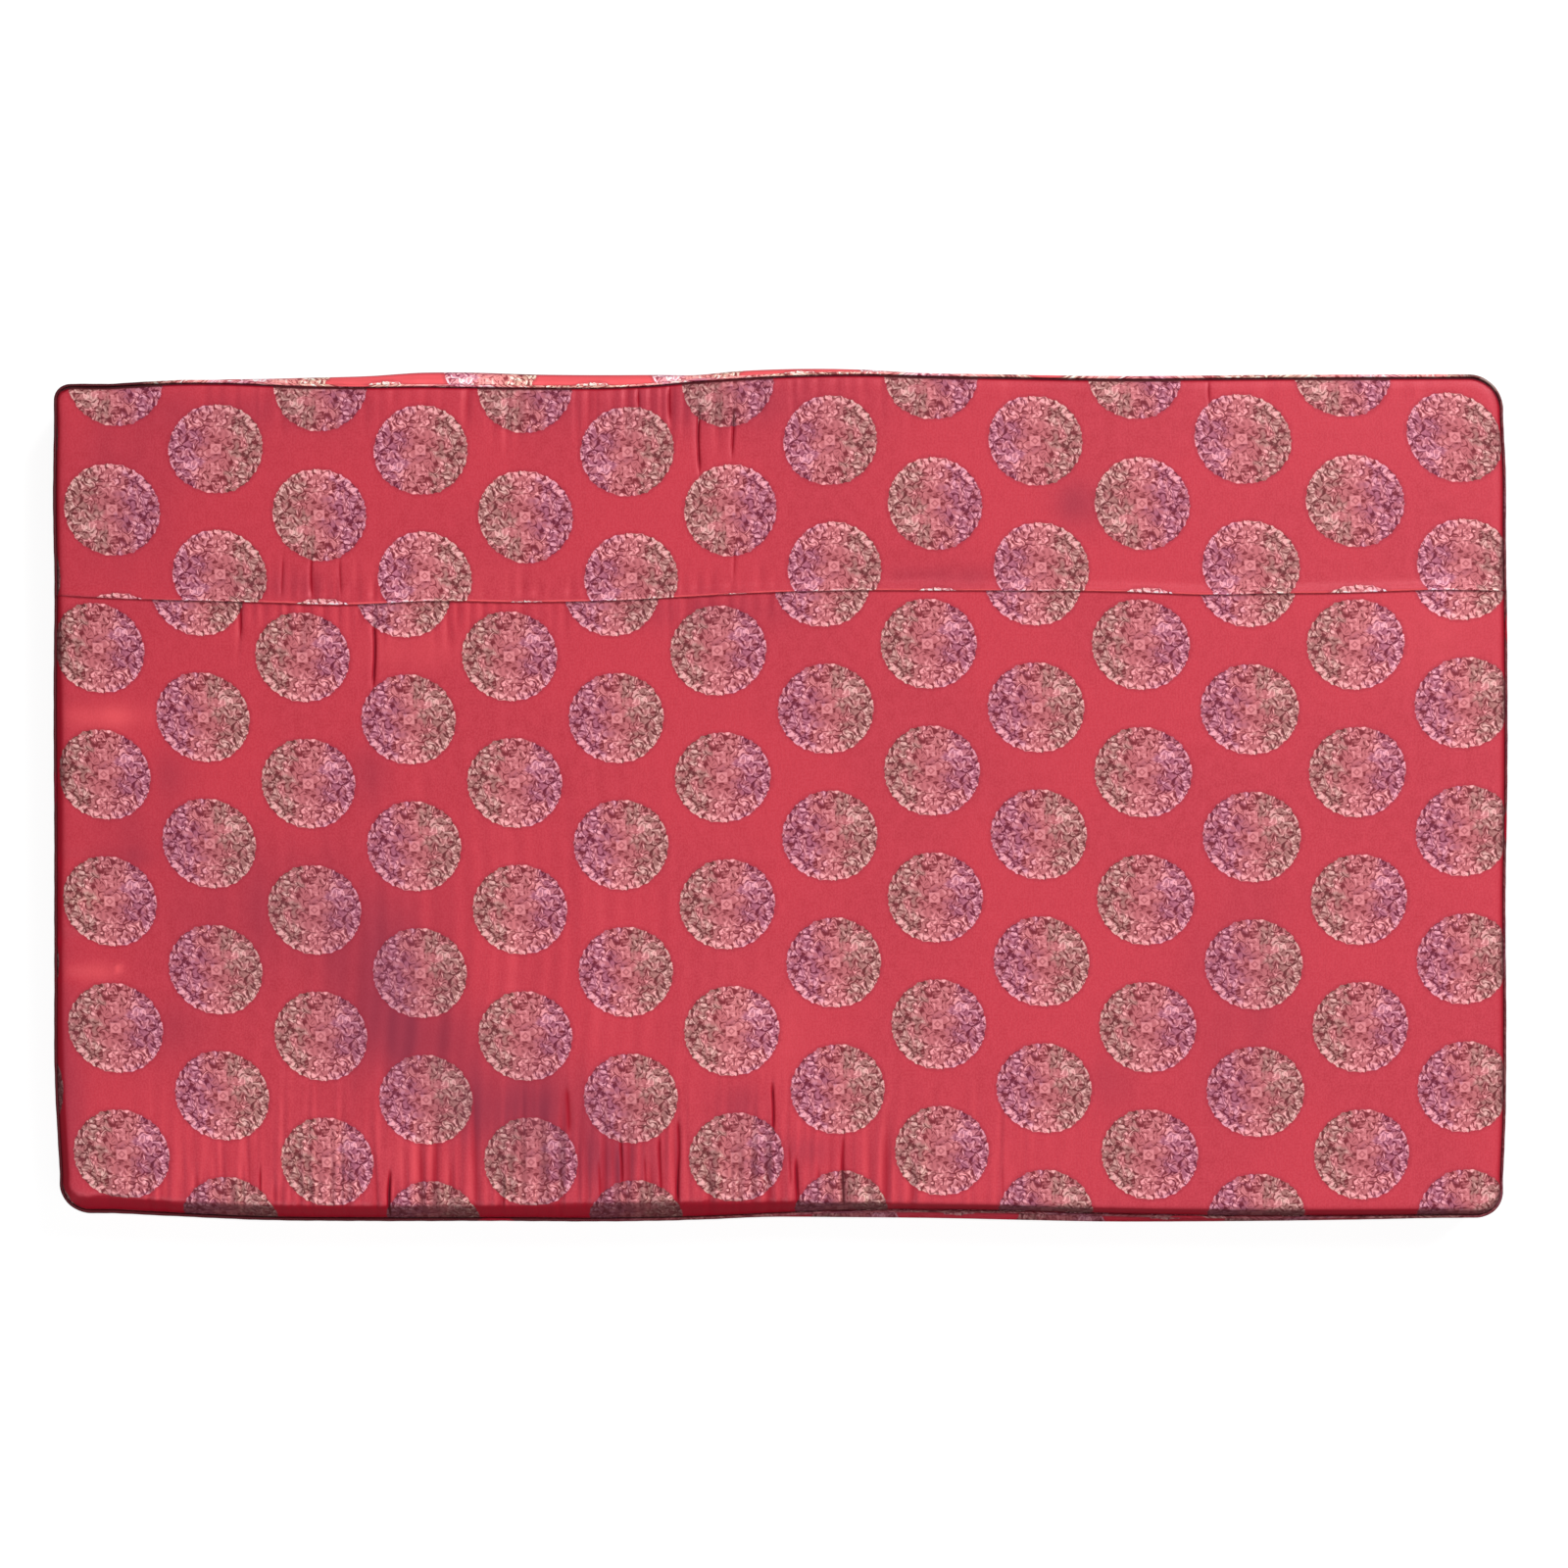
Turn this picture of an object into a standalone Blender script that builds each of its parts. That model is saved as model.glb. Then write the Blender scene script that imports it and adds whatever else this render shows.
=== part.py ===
"""Long seat cushion with a boxed cover of figured satin.

Two panels make the top. The back panel's folded front edge laps over the front panel along
a seam that runs the whole length. A thin welt follows the top seam, and the boxing, a band
of the same cloth, closes the four sides. The pad is one filled solid, and it carries the
front panel and the bottom panel as its own faces.

Metres, +Z up. The origin is under the middle of the cushion, on the surface it rests on.
+X runs along the cushion and +Y towards its back edge. The tables are in millimetres.
"""

import math
from collections import namedtuple

import bmesh
import bpy
import numpy as np
from mathutils import Vector

MM = 0.001

# Driving sizes, in millimetres
HALF_LENGTH = 600.0
HALF_WIDTH = 350.0
SHOULDER_Z = 58.5
CROWN = 7.5
CORNER = 34.0
WELT_RADIUS = 1.9
CLOTH = 1.3
WELT_GAP = 0.8
WALL_GAP = 1.5

# Corner radii by side along X (-1 left, 1 right) and side along Y (-1 front, 1 back)
CORNER_RADIUS = {(-1, -1): 34.0, (1, -1): 27.0, (1, 1): 24.0, (-1, 1): 22.0}

# Each edge seen from above, a row per place along it:
# along    place along the edge
# outer    distance of the outer line from the cushion's centre line
# welt_in  how far the welt's centre lies inside the outer line
# crease_in  how far the top panel's edge crease lies inside the outer line
# seam_z   height of the welt's centre
Station = namedtuple("Station", "along outer welt_in crease_in seam_z")

BACK_EDGE = (
    Station(-555, 340.5, 2.1, 6.5, 53),
    Station(-490, 342.5, 3.2, 7.8, 54),
    Station(-458, 343.2, 4.4, 9.0, 55),
    Station(-393, 344.6, 8.2, 12.8, 56),
    Station(-329, 346.2, 10.7, 15.4, 57),
    Station(-264, 347.8, 12.3, 17.0, 57),
    Station(-199, 347.0, 11.7, 16.4, 57),
    Station(-134, 346.2, 10.7, 15.4, 57),
    Station(-102, 346.6, 9.0, 13.6, 56),
    Station(-60, 348.2, 6.2, 10.8, 56),
    Station(28, 351.2, 5.0, 9.6, 55),
    Station(70, 351.8, 3.8, 8.4, 54),
    Station(125, 349.4, 2.1, 6.6, 53),
    Station(190, 347.4, 2.1, 6.5, 53),
    Station(254, 346.6, 2.1, 6.5, 53),
    Station(416, 347.8, 2.1, 6.6, 53),
    Station(560, 347.2, 2.1, 6.5, 53),
)
FRONT_EDGE = (
    Station(-555, 345.4, 2.1, 17.0, 46),
    Station(-499, 348.0, 2.1, 12.5, 45),
    Station(-434, 351.0, 2.1, 11.5, 44),
    Station(-337, 351.8, 2.1, 11.5, 44),
    Station(-232, 351.8, 2.1, 12.0, 44),
    Station(-142, 351.8, 2.5, 14.2, 44),
    Station(-78, 350.4, 2.9, 14.2, 44),
    Station(-5, 348.8, 3.5, 13.0, 44),
    Station(44, 348.6, 4.8, 11.5, 45),
    Station(133, 349.2, 5.7, 10.8, 46),
    Station(198, 350.6, 6.0, 10.8, 47),
    Station(262, 351.6, 5.8, 10.5, 47),
    Station(360, 351.8, 4.5, 9.4, 48),
    Station(489, 351.0, 3.4, 8.2, 48),
    Station(565, 349.4, 2.8, 7.6, 49),
)
LEFT_EDGE = (
    Station(-315, 597.0, 2.1, 11.0, 47),
    Station(-234, 599.6, 2.1, 10.0, 48),
    Station(-153, 600.0, 2.1, 9.0, 49),
    Station(-32, 600.0, 2.1, 9.0, 49),
    Station(90, 599.6, 2.1, 8.0, 50),
    Station(170, 600.0, 2.1, 6.8, 51),
    Station(251, 600.0, 2.1, 6.6, 52),
    Station(315, 599.6, 2.1, 6.5, 53),
)
RIGHT_EDGE = (
    Station(-315, 597.0, 2.4, 7.0, 50),
    Station(-267, 598.4, 2.2, 6.6, 51),
    Station(-194, 599.2, 2.1, 6.5, 52),
    Station(-72, 598.6, 2.1, 6.5, 52),
    Station(-15, 600.0, 2.1, 6.6, 52),
    Station(138, 600.0, 2.1, 6.6, 53),
    Station(219, 598.4, 2.1, 6.5, 53),
    Station(315, 595.4, 2.1, 6.5, 53),
)

# The lap: the line along which the back panel's folded edge lies on the front panel
LAP_LEVEL = 163.0
LAP_REACH = 60.0
LapPoint = namedtuple("LapPoint", "x y")
LAP_LINE = (
    LapPoint(-600, 166.6),
    LapPoint(-555, 164.0),
    LapPoint(-507, 161.5),
    LapPoint(-458, 160.0),
    LapPoint(-410, 158.3),
    LapPoint(-361, 156.7),
    LapPoint(-329, 157.5),
    LapPoint(-296, 158.8),
    LapPoint(-215, 158.3),
    LapPoint(-134, 160.0),
    LapPoint(-70, 163.2),
    LapPoint(27, 166.4),
    LapPoint(76, 167.2),
    LapPoint(189, 168.0),
    LapPoint(287, 167.2),
    LapPoint(351, 164.8),
    LapPoint(400, 165.6),
    LapPoint(465, 166.4),
    LapPoint(546, 168.8),
    LapPoint(600, 168.0),
)

# The lap's folded lip: distance behind the lap line, and how high its face stands
LipPoint = namedtuple("LipPoint", "behind lift")
LIP = (
    LipPoint(0.0, 1.6),
    LipPoint(1.2, 2.8),
    LipPoint(3.0, 2.8),
    LipPoint(5.5, 1.6),
    LipPoint(9.5, 0.0),
)

# Creases that run across the cushion, a row each: place, ends, depth and half width
Crease = namedtuple("Crease", "x front back depth half_width")
FRONT_CREASES = (
    Crease(-445, 128, 158, 1.6, 7),
    Crease(-430, -332, -300, 1.4, 7),
    Crease(-334, 92, 142, 1.8, 7),
    Crease(-322, -342, -296, 1.8, 7),
    Crease(-175, -276, -240, 1.8, 14),
    Crease(-131, -320, -284, 1.5, 8),
    Crease(-84, -334, -270, 2.0, 8),
    Crease(-5, -280, -240, 1.5, 8),
    Crease(12, -340, -288, 1.9, 8),
    Crease(52, -338, -306, 1.2, 8),
)
BACK_CREASES = (
    Crease(-410, 186, 200, 1.2, 8),
    Crease(-386, 186, 202, 1.4, 8),
    Crease(-362, 186, 198, 1.2, 8),
    Crease(-91, 312, 332, 1.2, 8),
    Crease(-67, 268, 318, 1.6, 8),
    Crease(-39, 280, 312, 1.4, 8),
    Crease(354, 322, 338, 1.3, 8),
)

# Puckers that run in from the left edge, a row each: place, inner end, depth, half width
Pucker = namedtuple("Pucker", "y reach depth half_width")
LEFT_PUCKERS = (
    Pucker(-121, 75, 1.8, 12),
    Pucker(-56, 55, 1.3, 12),
)

# Broad soft waves in the slack front left of the top
WAVE_CENTRE_X = -250.0
WAVE_CENTRE_Y = -175.0
WAVE_SPREAD_X = 130.0
WAVE_SPREAD_Y = 140.0
WAVE_LENGTH = 88.0
WAVE_HEIGHT = 0.9

# Rows and columns of points: the slack left part of the cloth ends at SLACK_END and takes
# closer columns than the taut right part, and no two columns are closer than the least steps
SLACK_END = 70.0
PAD_STEPS = (24.0, 46.0)
PANEL_STEPS = (34.0, 52.0)
LEAST_STEP = 7.0
LEAST_CREASE_STEP = 3.5
PAD_ROWS = (-297, -278, -258, -238, -205, -170, -148, -88, -15, 20, 55, 88, 112, 132, 148, 215, 265)
PANEL_ROWS = (186, 200, 235, 272, 295)
EDGE_STEP = 50.0
BACK_STEP = 34.0
CORNER_STEPS = 8

# Rings of points between the top seam and the flat of the top panel, seam first
RINGS = 4
BAND_SHARE = 0.45
BAND_RISE = 0.6
SHOULDER_DROP = 1.2
SHOULDER_RUN = 6.0
EDGE_RISE = 0.5

# How far each ring of the pad, and its flat, lies inside and under the back panel's face
SUNK_IN = (1.2, 1.8, 1.8, 0.6, 0.0)
SUNK_DOWN = (2.0, 1.6, 2.4, 3.4, 3.6)

# Where the pad starts to sink behind the lap line, and over what run, on the outer rings,
# on the innermost ring and on the flat
Sink = namedtuple("Sink", "start run")
OUTER_SINK = Sink(-4.0, 3.0)
INNER_SINK = Sink(-1.0, 6.5)
FLAT_SINK = Sink(5.5, 4.0)

# Share of the lip's lift on each ring, and how far it pushes outwards there
LIP_SHARE = (0.2, 0.5, 0.8, 1.0)
LIP_OUT = (0.8, 0.8, 0.5, 0.0)

# The side: heights of the boxing's fullest line, its lower line and its bottom seam
FULL_Z = 31.0
LOWER_Z = 17.0
BOTTOM_SEAM_Z = 4.5
SIDE_INSET = 0.3
LOWER_INSET = 0.5
BOTTOM_SEAM_INSET = 2.8
BASE_INSET = 8.0
SHOULDER_ANGLE = math.radians(40)

# The boxing starts below the welt on an upright side, and beside it where the seam has
# rolled on to the top; the roll grows as the welt lies further in
UPRIGHT_START = math.radians(75)
ROLLED_START = math.radians(10)
ROLL_FROM = 2.0
ROLL_RANGE = 9.0
START_GAP = 1.0

# The pad's own ring under the welt, and its bottom edge just under the boxing
UNDER_WELT_IN = 1.4
UNDER_WELT_DROP = 3.0
BOTTOM_EDGE_IN = 0.6
BOTTOM_EDGE_DROP = 1.2

# A fold along the boxing where it rolls over the back shoulder
FOLD_FROM = -430.0
FOLD_TO = -110.0
FOLD_DEPTH = 0.7

RED_SATIN = (0.584, 0.055, 0.082)
LIT_SATIN = (0.610, 0.070, 0.095)
WELT_MIX = (0.420, 0.110, 0.115)

RimPoint = namedtuple("RimPoint", "x y out_x out_y")


def blend(first, second, share):
    return first + (second - first) * share


def smooth(share):
    share = min(max(share, 0.0), 1.0)
    return share * share * (3.0 - 2.0 * share)


def lookup(table, key, along, column):
    """Value of a named column at a place along a table, straight between its rows."""
    places = [getattr(row, key) for row in table]
    values = [getattr(row, column) for row in table]
    return float(np.interp(along, places, values))


def edge_size(rim, column):
    """Size from the edge tables at a point of the outline, blended round the corners."""
    end = RIGHT_EDGE if rim.x > 0 else LEFT_EDGE
    side = BACK_EDGE if rim.y > 0 else FRONT_EDGE
    at_end = lookup(end, "along", rim.y, column)
    at_side = lookup(side, "along", rim.x, column)
    return rim.out_x ** 2 * at_end + rim.out_y ** 2 * at_side


def warp(x, y):
    """A place in the plain rectangle, moved to follow the cushion's uneven edges."""
    end = RIGHT_EDGE if x > 0 else LEFT_EDGE
    side = BACK_EDGE if y > 0 else FRONT_EDGE
    extra_x = (lookup(end, "along", y, "outer") - HALF_LENGTH) * (x / HALF_LENGTH) ** 2
    extra_y = (lookup(side, "along", x, "outer") - HALF_WIDTH) * (y / HALF_WIDTH) ** 2
    return x + extra_x * (1 if x > 0 else -1), y + extra_y * (1 if y > 0 else -1)


def corner_rim(side_x, side_y, share):
    """Point of the plain outline in a corner, from its end edge (0) to its long edge (1)."""
    radius = CORNER_RADIUS[(side_x, side_y)]
    straight = CORNER - radius
    arc = radius * math.pi / 2
    run = share * (2 * straight + arc)
    angle = min(max((run - straight) / radius, 0.0), math.pi / 2)
    inset_x = radius * (1 - math.cos(angle)) + max(run - straight - arc, 0.0)
    inset_y = radius * (1 - math.sin(angle)) + max(straight - run, 0.0)
    return RimPoint(
        side_x * (HALF_LENGTH - inset_x),
        side_y * (HALF_WIDTH - inset_y),
        side_x * math.cos(angle),
        side_y * math.sin(angle),
    )


def rim_place(rim, inset, height):
    """Point inside the uneven outline by an inset, in metres."""
    x, y = warp(rim.x, rim.y)
    return Vector((x - rim.out_x * inset, y - rim.out_y * inset, height)) * MM


def follow_lap(x, y):
    """Row position moved so that the rows near the lap run along it."""
    offset = lookup(LAP_LINE, "x", x, "y") - LAP_LEVEL
    return y + offset * max(0.0, 1.0 - abs(y - LAP_LEVEL) / LAP_REACH)


def crease_depth(creases, x, y):
    """Depth of the creases at a place; each is a soft trough that dies out at its ends."""
    depth = 0.0
    for crease in creases:
        across = 1.0 - abs(x - crease.x) / crease.half_width
        inside = min(y - crease.front, crease.back - y)
        along = 1.0 + min(inside, 0.0) / (2.0 * crease.half_width)
        depth = max(depth, crease.depth * smooth(across) * smooth(along))
    return depth


def pucker_depth(x, y):
    """Depth of the puckers that run in from the left edge."""
    depth = 0.0
    for pucker in LEFT_PUCKERS:
        across = 1.0 - abs(y - pucker.y) / pucker.half_width
        along = 1.0 - (x + HALF_LENGTH) / pucker.reach
        depth = max(depth, pucker.depth * smooth(across) * smooth(2.0 * along))
    return depth


def wave_height(x, y):
    """Height of the broad waves, which fade out all round their centre."""
    far_x = (x - WAVE_CENTRE_X) / WAVE_SPREAD_X
    far_y = (y - WAVE_CENTRE_Y) / WAVE_SPREAD_Y
    fade = math.exp(-far_x ** 2 - far_y ** 2)
    return WAVE_HEIGHT * fade * math.cos(2 * math.pi * (x - WAVE_CENTRE_X) / WAVE_LENGTH)


def top_height(x, y):
    """Height of the crowned top, without its creases."""
    share_x = min(abs(x) / HALF_LENGTH, 1.0)
    share_y = min(abs(y) / HALF_WIDTH, 1.0)
    crown = CROWN * (1.0 - share_x ** 4) * (1.0 - share_y ** 2)
    return SHOULDER_Z + crown + wave_height(x, y)


def ring_size(rim, ring):
    """Inset and height of one ring of the top panel's rolled edge."""
    seam = edge_size(rim, "seam_z") + EDGE_RISE
    edge = edge_size(rim, "welt_in") + WELT_RADIUS + WELT_GAP
    crease = edge_size(rim, "crease_in")
    flat = SHOULDER_Z
    shoulder = flat - SHOULDER_DROP
    insets = (edge, blend(edge, crease, BAND_SHARE), crease, crease + SHOULDER_RUN)
    heights = (seam, blend(seam, shoulder, BAND_RISE), shoulder, flat)
    return insets[ring], heights[ring]


def find_rim(steps_x, steps_y, x, y):
    """Outline point and ring of a grid point near the edge, counted in steps from it."""
    side_x = 1 if x > 0 else -1
    side_y = 1 if y > 0 else -1
    if steps_x < RINGS and steps_y < RINGS:
        from_x = RINGS - steps_x
        from_y = RINGS - steps_y
        most = max(from_x, from_y)
        share = 0.5 * from_y / most if from_x == most else 1.0 - 0.5 * from_x / most
        return corner_rim(side_x, side_y, share), RINGS - most
    if steps_x < RINGS:
        return RimPoint(side_x * HALF_LENGTH, follow_lap(x, y), side_x, 0.0), steps_x
    return RimPoint(x, side_y * HALF_WIDTH, 0.0, side_y), steps_y


def pad_sinks(ring, y):
    """Share by which the pad is sunk to take the back panel, from the lap line backwards."""
    sink = OUTER_SINK
    if ring == RINGS - 1:
        sink = INNER_SINK
    if ring == RINGS:
        sink = FLAT_SINK
    return smooth((y - LAP_LEVEL - sink.start) / sink.run)


def pad_place(steps_x, steps_y, x, y):
    """Point of the pad's top: the front panel, and the seat of the back panel behind it."""
    if min(steps_x, steps_y) < RINGS:
        rim, ring = find_rim(steps_x, steps_y, x, y)
        inset, height = ring_size(rim, ring)
        sunk = pad_sinks(ring, y)
        height -= sunk * SUNK_DOWN[ring]
        if ring > 0:
            dent = crease_depth(FRONT_CREASES, rim.x, rim.y - rim.out_y * inset)
            height -= dent + pucker_depth(rim.x - rim.out_x * inset, rim.y)
        return rim_place(rim, inset + sunk * SUNK_IN[ring], height)
    row = follow_lap(x, y)
    height = top_height(x, row) - crease_depth(FRONT_CREASES, x, row) - pucker_depth(x, row)
    height -= pad_sinks(RINGS, y) * SUNK_DOWN[RINGS]
    return Vector((*warp(x, row), height)) * MM


def panel_place(steps_x, steps_y, x, y):
    """Point of the back panel's upper face, with its raised front lip."""
    lift = lookup(LIP, "behind", y - LAP_LEVEL, "lift")
    if min(steps_x, steps_y) < RINGS:
        rim, ring = find_rim(steps_x, steps_y, x, y)
        inset, height = ring_size(rim, ring)
        lift *= LIP_SHARE[ring]
        if ring == RINGS - 1:
            height -= crease_depth(BACK_CREASES, rim.x, rim.y - rim.out_y * inset)
        return rim_place(rim, inset - lift * LIP_OUT[ring], height + lift)
    row = follow_lap(x, y)
    height = top_height(x, row) + lift - crease_depth(BACK_CREASES, x, row)
    return Vector((*warp(x, row), height)) * MM


def boxing_section(rim, fold=0.0):
    """Inset and height of the boxing's face from the welt down to the bottom seam."""
    welt_in = edge_size(rim, "welt_in")
    seam = edge_size(rim, "seam_z")
    roll = smooth((welt_in - ROLL_FROM) / ROLL_RANGE)
    angle = blend(UPRIGHT_START, ROLLED_START, roll)
    reach = WELT_RADIUS + START_GAP
    top_in = welt_in - reach * math.cos(angle)
    top_z = seam - reach * math.sin(angle)
    turn_in = blend(SIDE_INSET, top_in, 1.0 - math.sin(SHOULDER_ANGLE))
    turn_z = blend(FULL_Z, top_z, math.cos(SHOULDER_ANGLE))
    return [
        (top_in, top_z),
        (turn_in + fold, turn_z - fold),
        (SIDE_INSET, FULL_Z),
        (LOWER_INSET, LOWER_Z),
        (BOTTOM_SEAM_INSET, BOTTOM_SEAM_Z),
    ]


def inner_section(section, depth):
    """The same section moved inwards, square to its face at every point."""
    moved = []
    for index, (inset, height) in enumerate(section):
        before = section[max(index - 1, 0)]
        after = section[min(index + 1, len(section) - 1)]
        run = Vector((after[0] - before[0], after[1] - before[1])).normalized()
        moved.append((inset - run.y * depth, height + run.x * depth))
    return moved


def pad_section(rim):
    """The pad's side: under the welt, behind the boxing, round the bottom to the base."""
    welt_in = edge_size(rim, "welt_in")
    seam = edge_size(rim, "seam_z")
    top, turn, full, _, bottom = inner_section(boxing_section(rim), CLOTH + WALL_GAP)
    return [
        (welt_in + UNDER_WELT_IN, seam - UNDER_WELT_DROP),
        top,
        turn,
        full,
        bottom,
        (BOTTOM_SEAM_INSET + BOTTOM_EDGE_IN, BOTTOM_SEAM_Z - BOTTOM_EDGE_DROP),
        (BASE_INSET, 0.0),
    ]


def spread(start, end, step):
    """Even places between two ends, both left out, no further apart than the step."""
    count = math.ceil((end - start) / step)
    return [blend(start, end, index / count) for index in range(1, count)]


def grid_columns(creases, steps):
    """Places of the columns: even ones, and three on each crease."""
    inner = HALF_LENGTH - CORNER
    slack_step, taut_step = steps
    wanted = []
    for crease in creases:
        wanted += [crease.x - crease.half_width, crease.x, crease.x + crease.half_width]
    wanted = sorted(set(wanted))
    kept = [place for index, place in enumerate(wanted)
            if index == 0 or place - wanted[index - 1] > LEAST_CREASE_STEP]
    even = spread(-inner, SLACK_END, slack_step) + [SLACK_END]
    even += spread(SLACK_END, inner, taut_step)
    kept += [place for place in even
             if min(abs(place - other) for other in kept) > LEAST_STEP]
    ends = [-inner, inner]
    rings = [HALF_LENGTH - CORNER * ring / RINGS for ring in range(RINGS)]
    return sorted(kept + ends + rings + [-place for place in rings])


def edge_rows(side):
    """Places of the rows in the corner zone along the front (-1) or back (1) edge."""
    return [side * (HALF_WIDTH - CORNER * ring / RINGS) for ring in range(RINGS + 1)]


def pad_rows():
    """Places of the pad's rows, closer at the front edge, the puckers and the lap."""
    rows = edge_rows(-1) + list(PAD_ROWS) + edge_rows(1)
    for pucker in LEFT_PUCKERS:
        rows += [pucker.y - pucker.half_width, pucker.y, pucker.y + pucker.half_width]
    for sink in (OUTER_SINK, FLAT_SINK):
        rows += [LAP_LEVEL + sink.start, LAP_LEVEL + sink.start + sink.run]
    return sorted(rows)


def panel_rows():
    """Places of the back panel's rows, from its folded lip to the back seam."""
    rows = [LAP_LEVEL + point.behind for point in LIP]
    return sorted(rows + list(PANEL_ROWS) + edge_rows(1))


def make_grid(mesh, columns, rows, place, has_front_rim):
    """A grid of points set by a function of each point's steps from the edges and its place."""
    last_column = len(columns) - 1
    last_row = len(rows) - 1
    bmesh.ops.create_grid(mesh, x_segments=last_column, y_segments=last_row, size=1.0)
    rim_of = {}
    for vert in mesh.verts:
        column = round((vert.co.x + 1.0) / 2.0 * last_column)
        row = round((vert.co.y + 1.0) / 2.0 * last_row)
        steps_x = min(column, last_column - column)
        steps_y = min(row, last_row - row) if has_front_rim else last_row - row
        spot = (steps_x, steps_y, columns[column], rows[row])
        vert.co = place(*spot)
        if min(steps_x, steps_y) == 0:
            rim_of[vert] = find_rim(*spot)[0]
    return rim_of


def extrude_rings(mesh, edges, tag, rims, sections):
    """Walls drawn down from a loop of edges, ring by ring, to each rim's own section."""
    for ring in range(len(sections[0])):
        made = bmesh.ops.extrude_edge_only(mesh, edges=edges)["geom"]
        verts = {item for item in made if isinstance(item, bmesh.types.BMVert)}
        edges = [item for item in made
                 if isinstance(item, bmesh.types.BMEdge) and verts.issuperset(item.verts)]
        for vert in verts:
            inset, height = sections[vert[tag]][ring]
            vert.co = rim_place(rims[vert[tag]], inset, height)
    return edges


def make_material(name, colour, roughness):
    material = bpy.data.materials.new(name)
    material.use_nodes = True
    shader = material.node_tree.nodes["Principled BSDF"]
    shader.inputs["Base Color"].default_value = (*colour, 1.0)
    shader.inputs["Roughness"].default_value = roughness
    shader.inputs["Metallic"].default_value = 0.0
    material.diffuse_color = (*colour, 1.0)
    return material


def add_object(name, mesh, material, collection):
    """An object from a finished bmesh, smooth shaded, in the cushion's collection."""
    data = bpy.data.meshes.new(name)
    mesh.to_mesh(data)
    mesh.free()
    data.shade_smooth()
    item = bpy.data.objects.new(name, data)
    item.data.materials.append(material)
    collection.objects.link(item)
    return item


def add_thickness(item):
    """Cloth thickness under an open face, so that the face itself keeps its place."""
    solid = item.modifiers.new("Cloth", "SOLIDIFY")
    solid.thickness = CLOTH * MM
    solid.offset = -1.0


def make_pad(collection):
    """The filled pad: crowned top, rolled edges, sides and flat base in one solid."""
    mesh = bmesh.new()
    tag = mesh.verts.layers.int.new("rim")
    columns = grid_columns(FRONT_CREASES, PAD_STEPS)
    rim_of = make_grid(mesh, columns, pad_rows(), pad_place, has_front_rim=True)
    rims = list(rim_of.values())
    for index, vert in enumerate(rim_of):
        vert[tag] = index
    loop = [edge for edge in mesh.edges if edge.is_boundary]
    loop = extrude_rings(mesh, loop, tag, rims, [pad_section(rim) for rim in rims])
    bmesh.ops.holes_fill(mesh, edges=loop, sides=0)
    bmesh.ops.recalc_face_normals(mesh, faces=mesh.faces)
    material = make_material("pad_satin", RED_SATIN, 0.42)
    return add_object("seat_pad", mesh, material, collection)


def make_back_panel(collection):
    """The back panel: a thin sheet from its folded lip over the pad to the back seam."""
    mesh = bmesh.new()
    columns = grid_columns(BACK_CREASES, PANEL_STEPS)
    make_grid(mesh, columns, panel_rows(), panel_place, has_front_rim=False)
    material = make_material("panel_satin", RED_SATIN, 0.42)
    panel = add_object("back_panel", mesh, material, collection)
    add_thickness(panel)
    return panel


def edge_places(table, half, step):
    """Places along one edge between its corners: the table's rows, and even ones between."""
    inner = half - CORNER
    rows = [row.along for row in table if abs(row.along) < inner - LEAST_STEP]
    places = [-inner] + rows + [inner]
    filled = []
    for start, end in zip(places, places[1:]):
        filled += [start] + spread(start, end, step)
    return filled[1:]


def rim_loop():
    """Points of the outline in order, counter-clockwise seen from above."""
    rising = [step / CORNER_STEPS for step in range(CORNER_STEPS + 1)]
    falling = rising[::-1]
    loop = [RimPoint(x, -HALF_WIDTH, 0.0, -1.0)
            for x in edge_places(FRONT_EDGE, HALF_LENGTH, EDGE_STEP)]
    loop += [corner_rim(1, -1, share) for share in falling]
    loop += [RimPoint(HALF_LENGTH, y, 1.0, 0.0)
             for y in edge_places(RIGHT_EDGE, HALF_WIDTH, EDGE_STEP)]
    loop += [corner_rim(1, 1, share) for share in rising]
    loop += [RimPoint(x, HALF_WIDTH, 0.0, 1.0)
             for x in reversed(edge_places(BACK_EDGE, HALF_LENGTH, BACK_STEP))]
    loop += [corner_rim(-1, 1, share) for share in falling]
    loop += [RimPoint(-HALF_LENGTH, y, -1.0, 0.0)
             for y in reversed(edge_places(LEFT_EDGE, HALF_WIDTH, EDGE_STEP))]
    loop += [corner_rim(-1, -1, share) for share in rising]
    return loop


def fold_depth(rim):
    """Depth of the fold along the boxing, at its deepest midway along the fold."""
    if rim.out_y < 0.5 or not FOLD_FROM < rim.x < FOLD_TO:
        return 0.0
    share = (rim.x - FOLD_FROM) / (FOLD_TO - FOLD_FROM)
    return FOLD_DEPTH * math.sin(math.pi * share)


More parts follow.
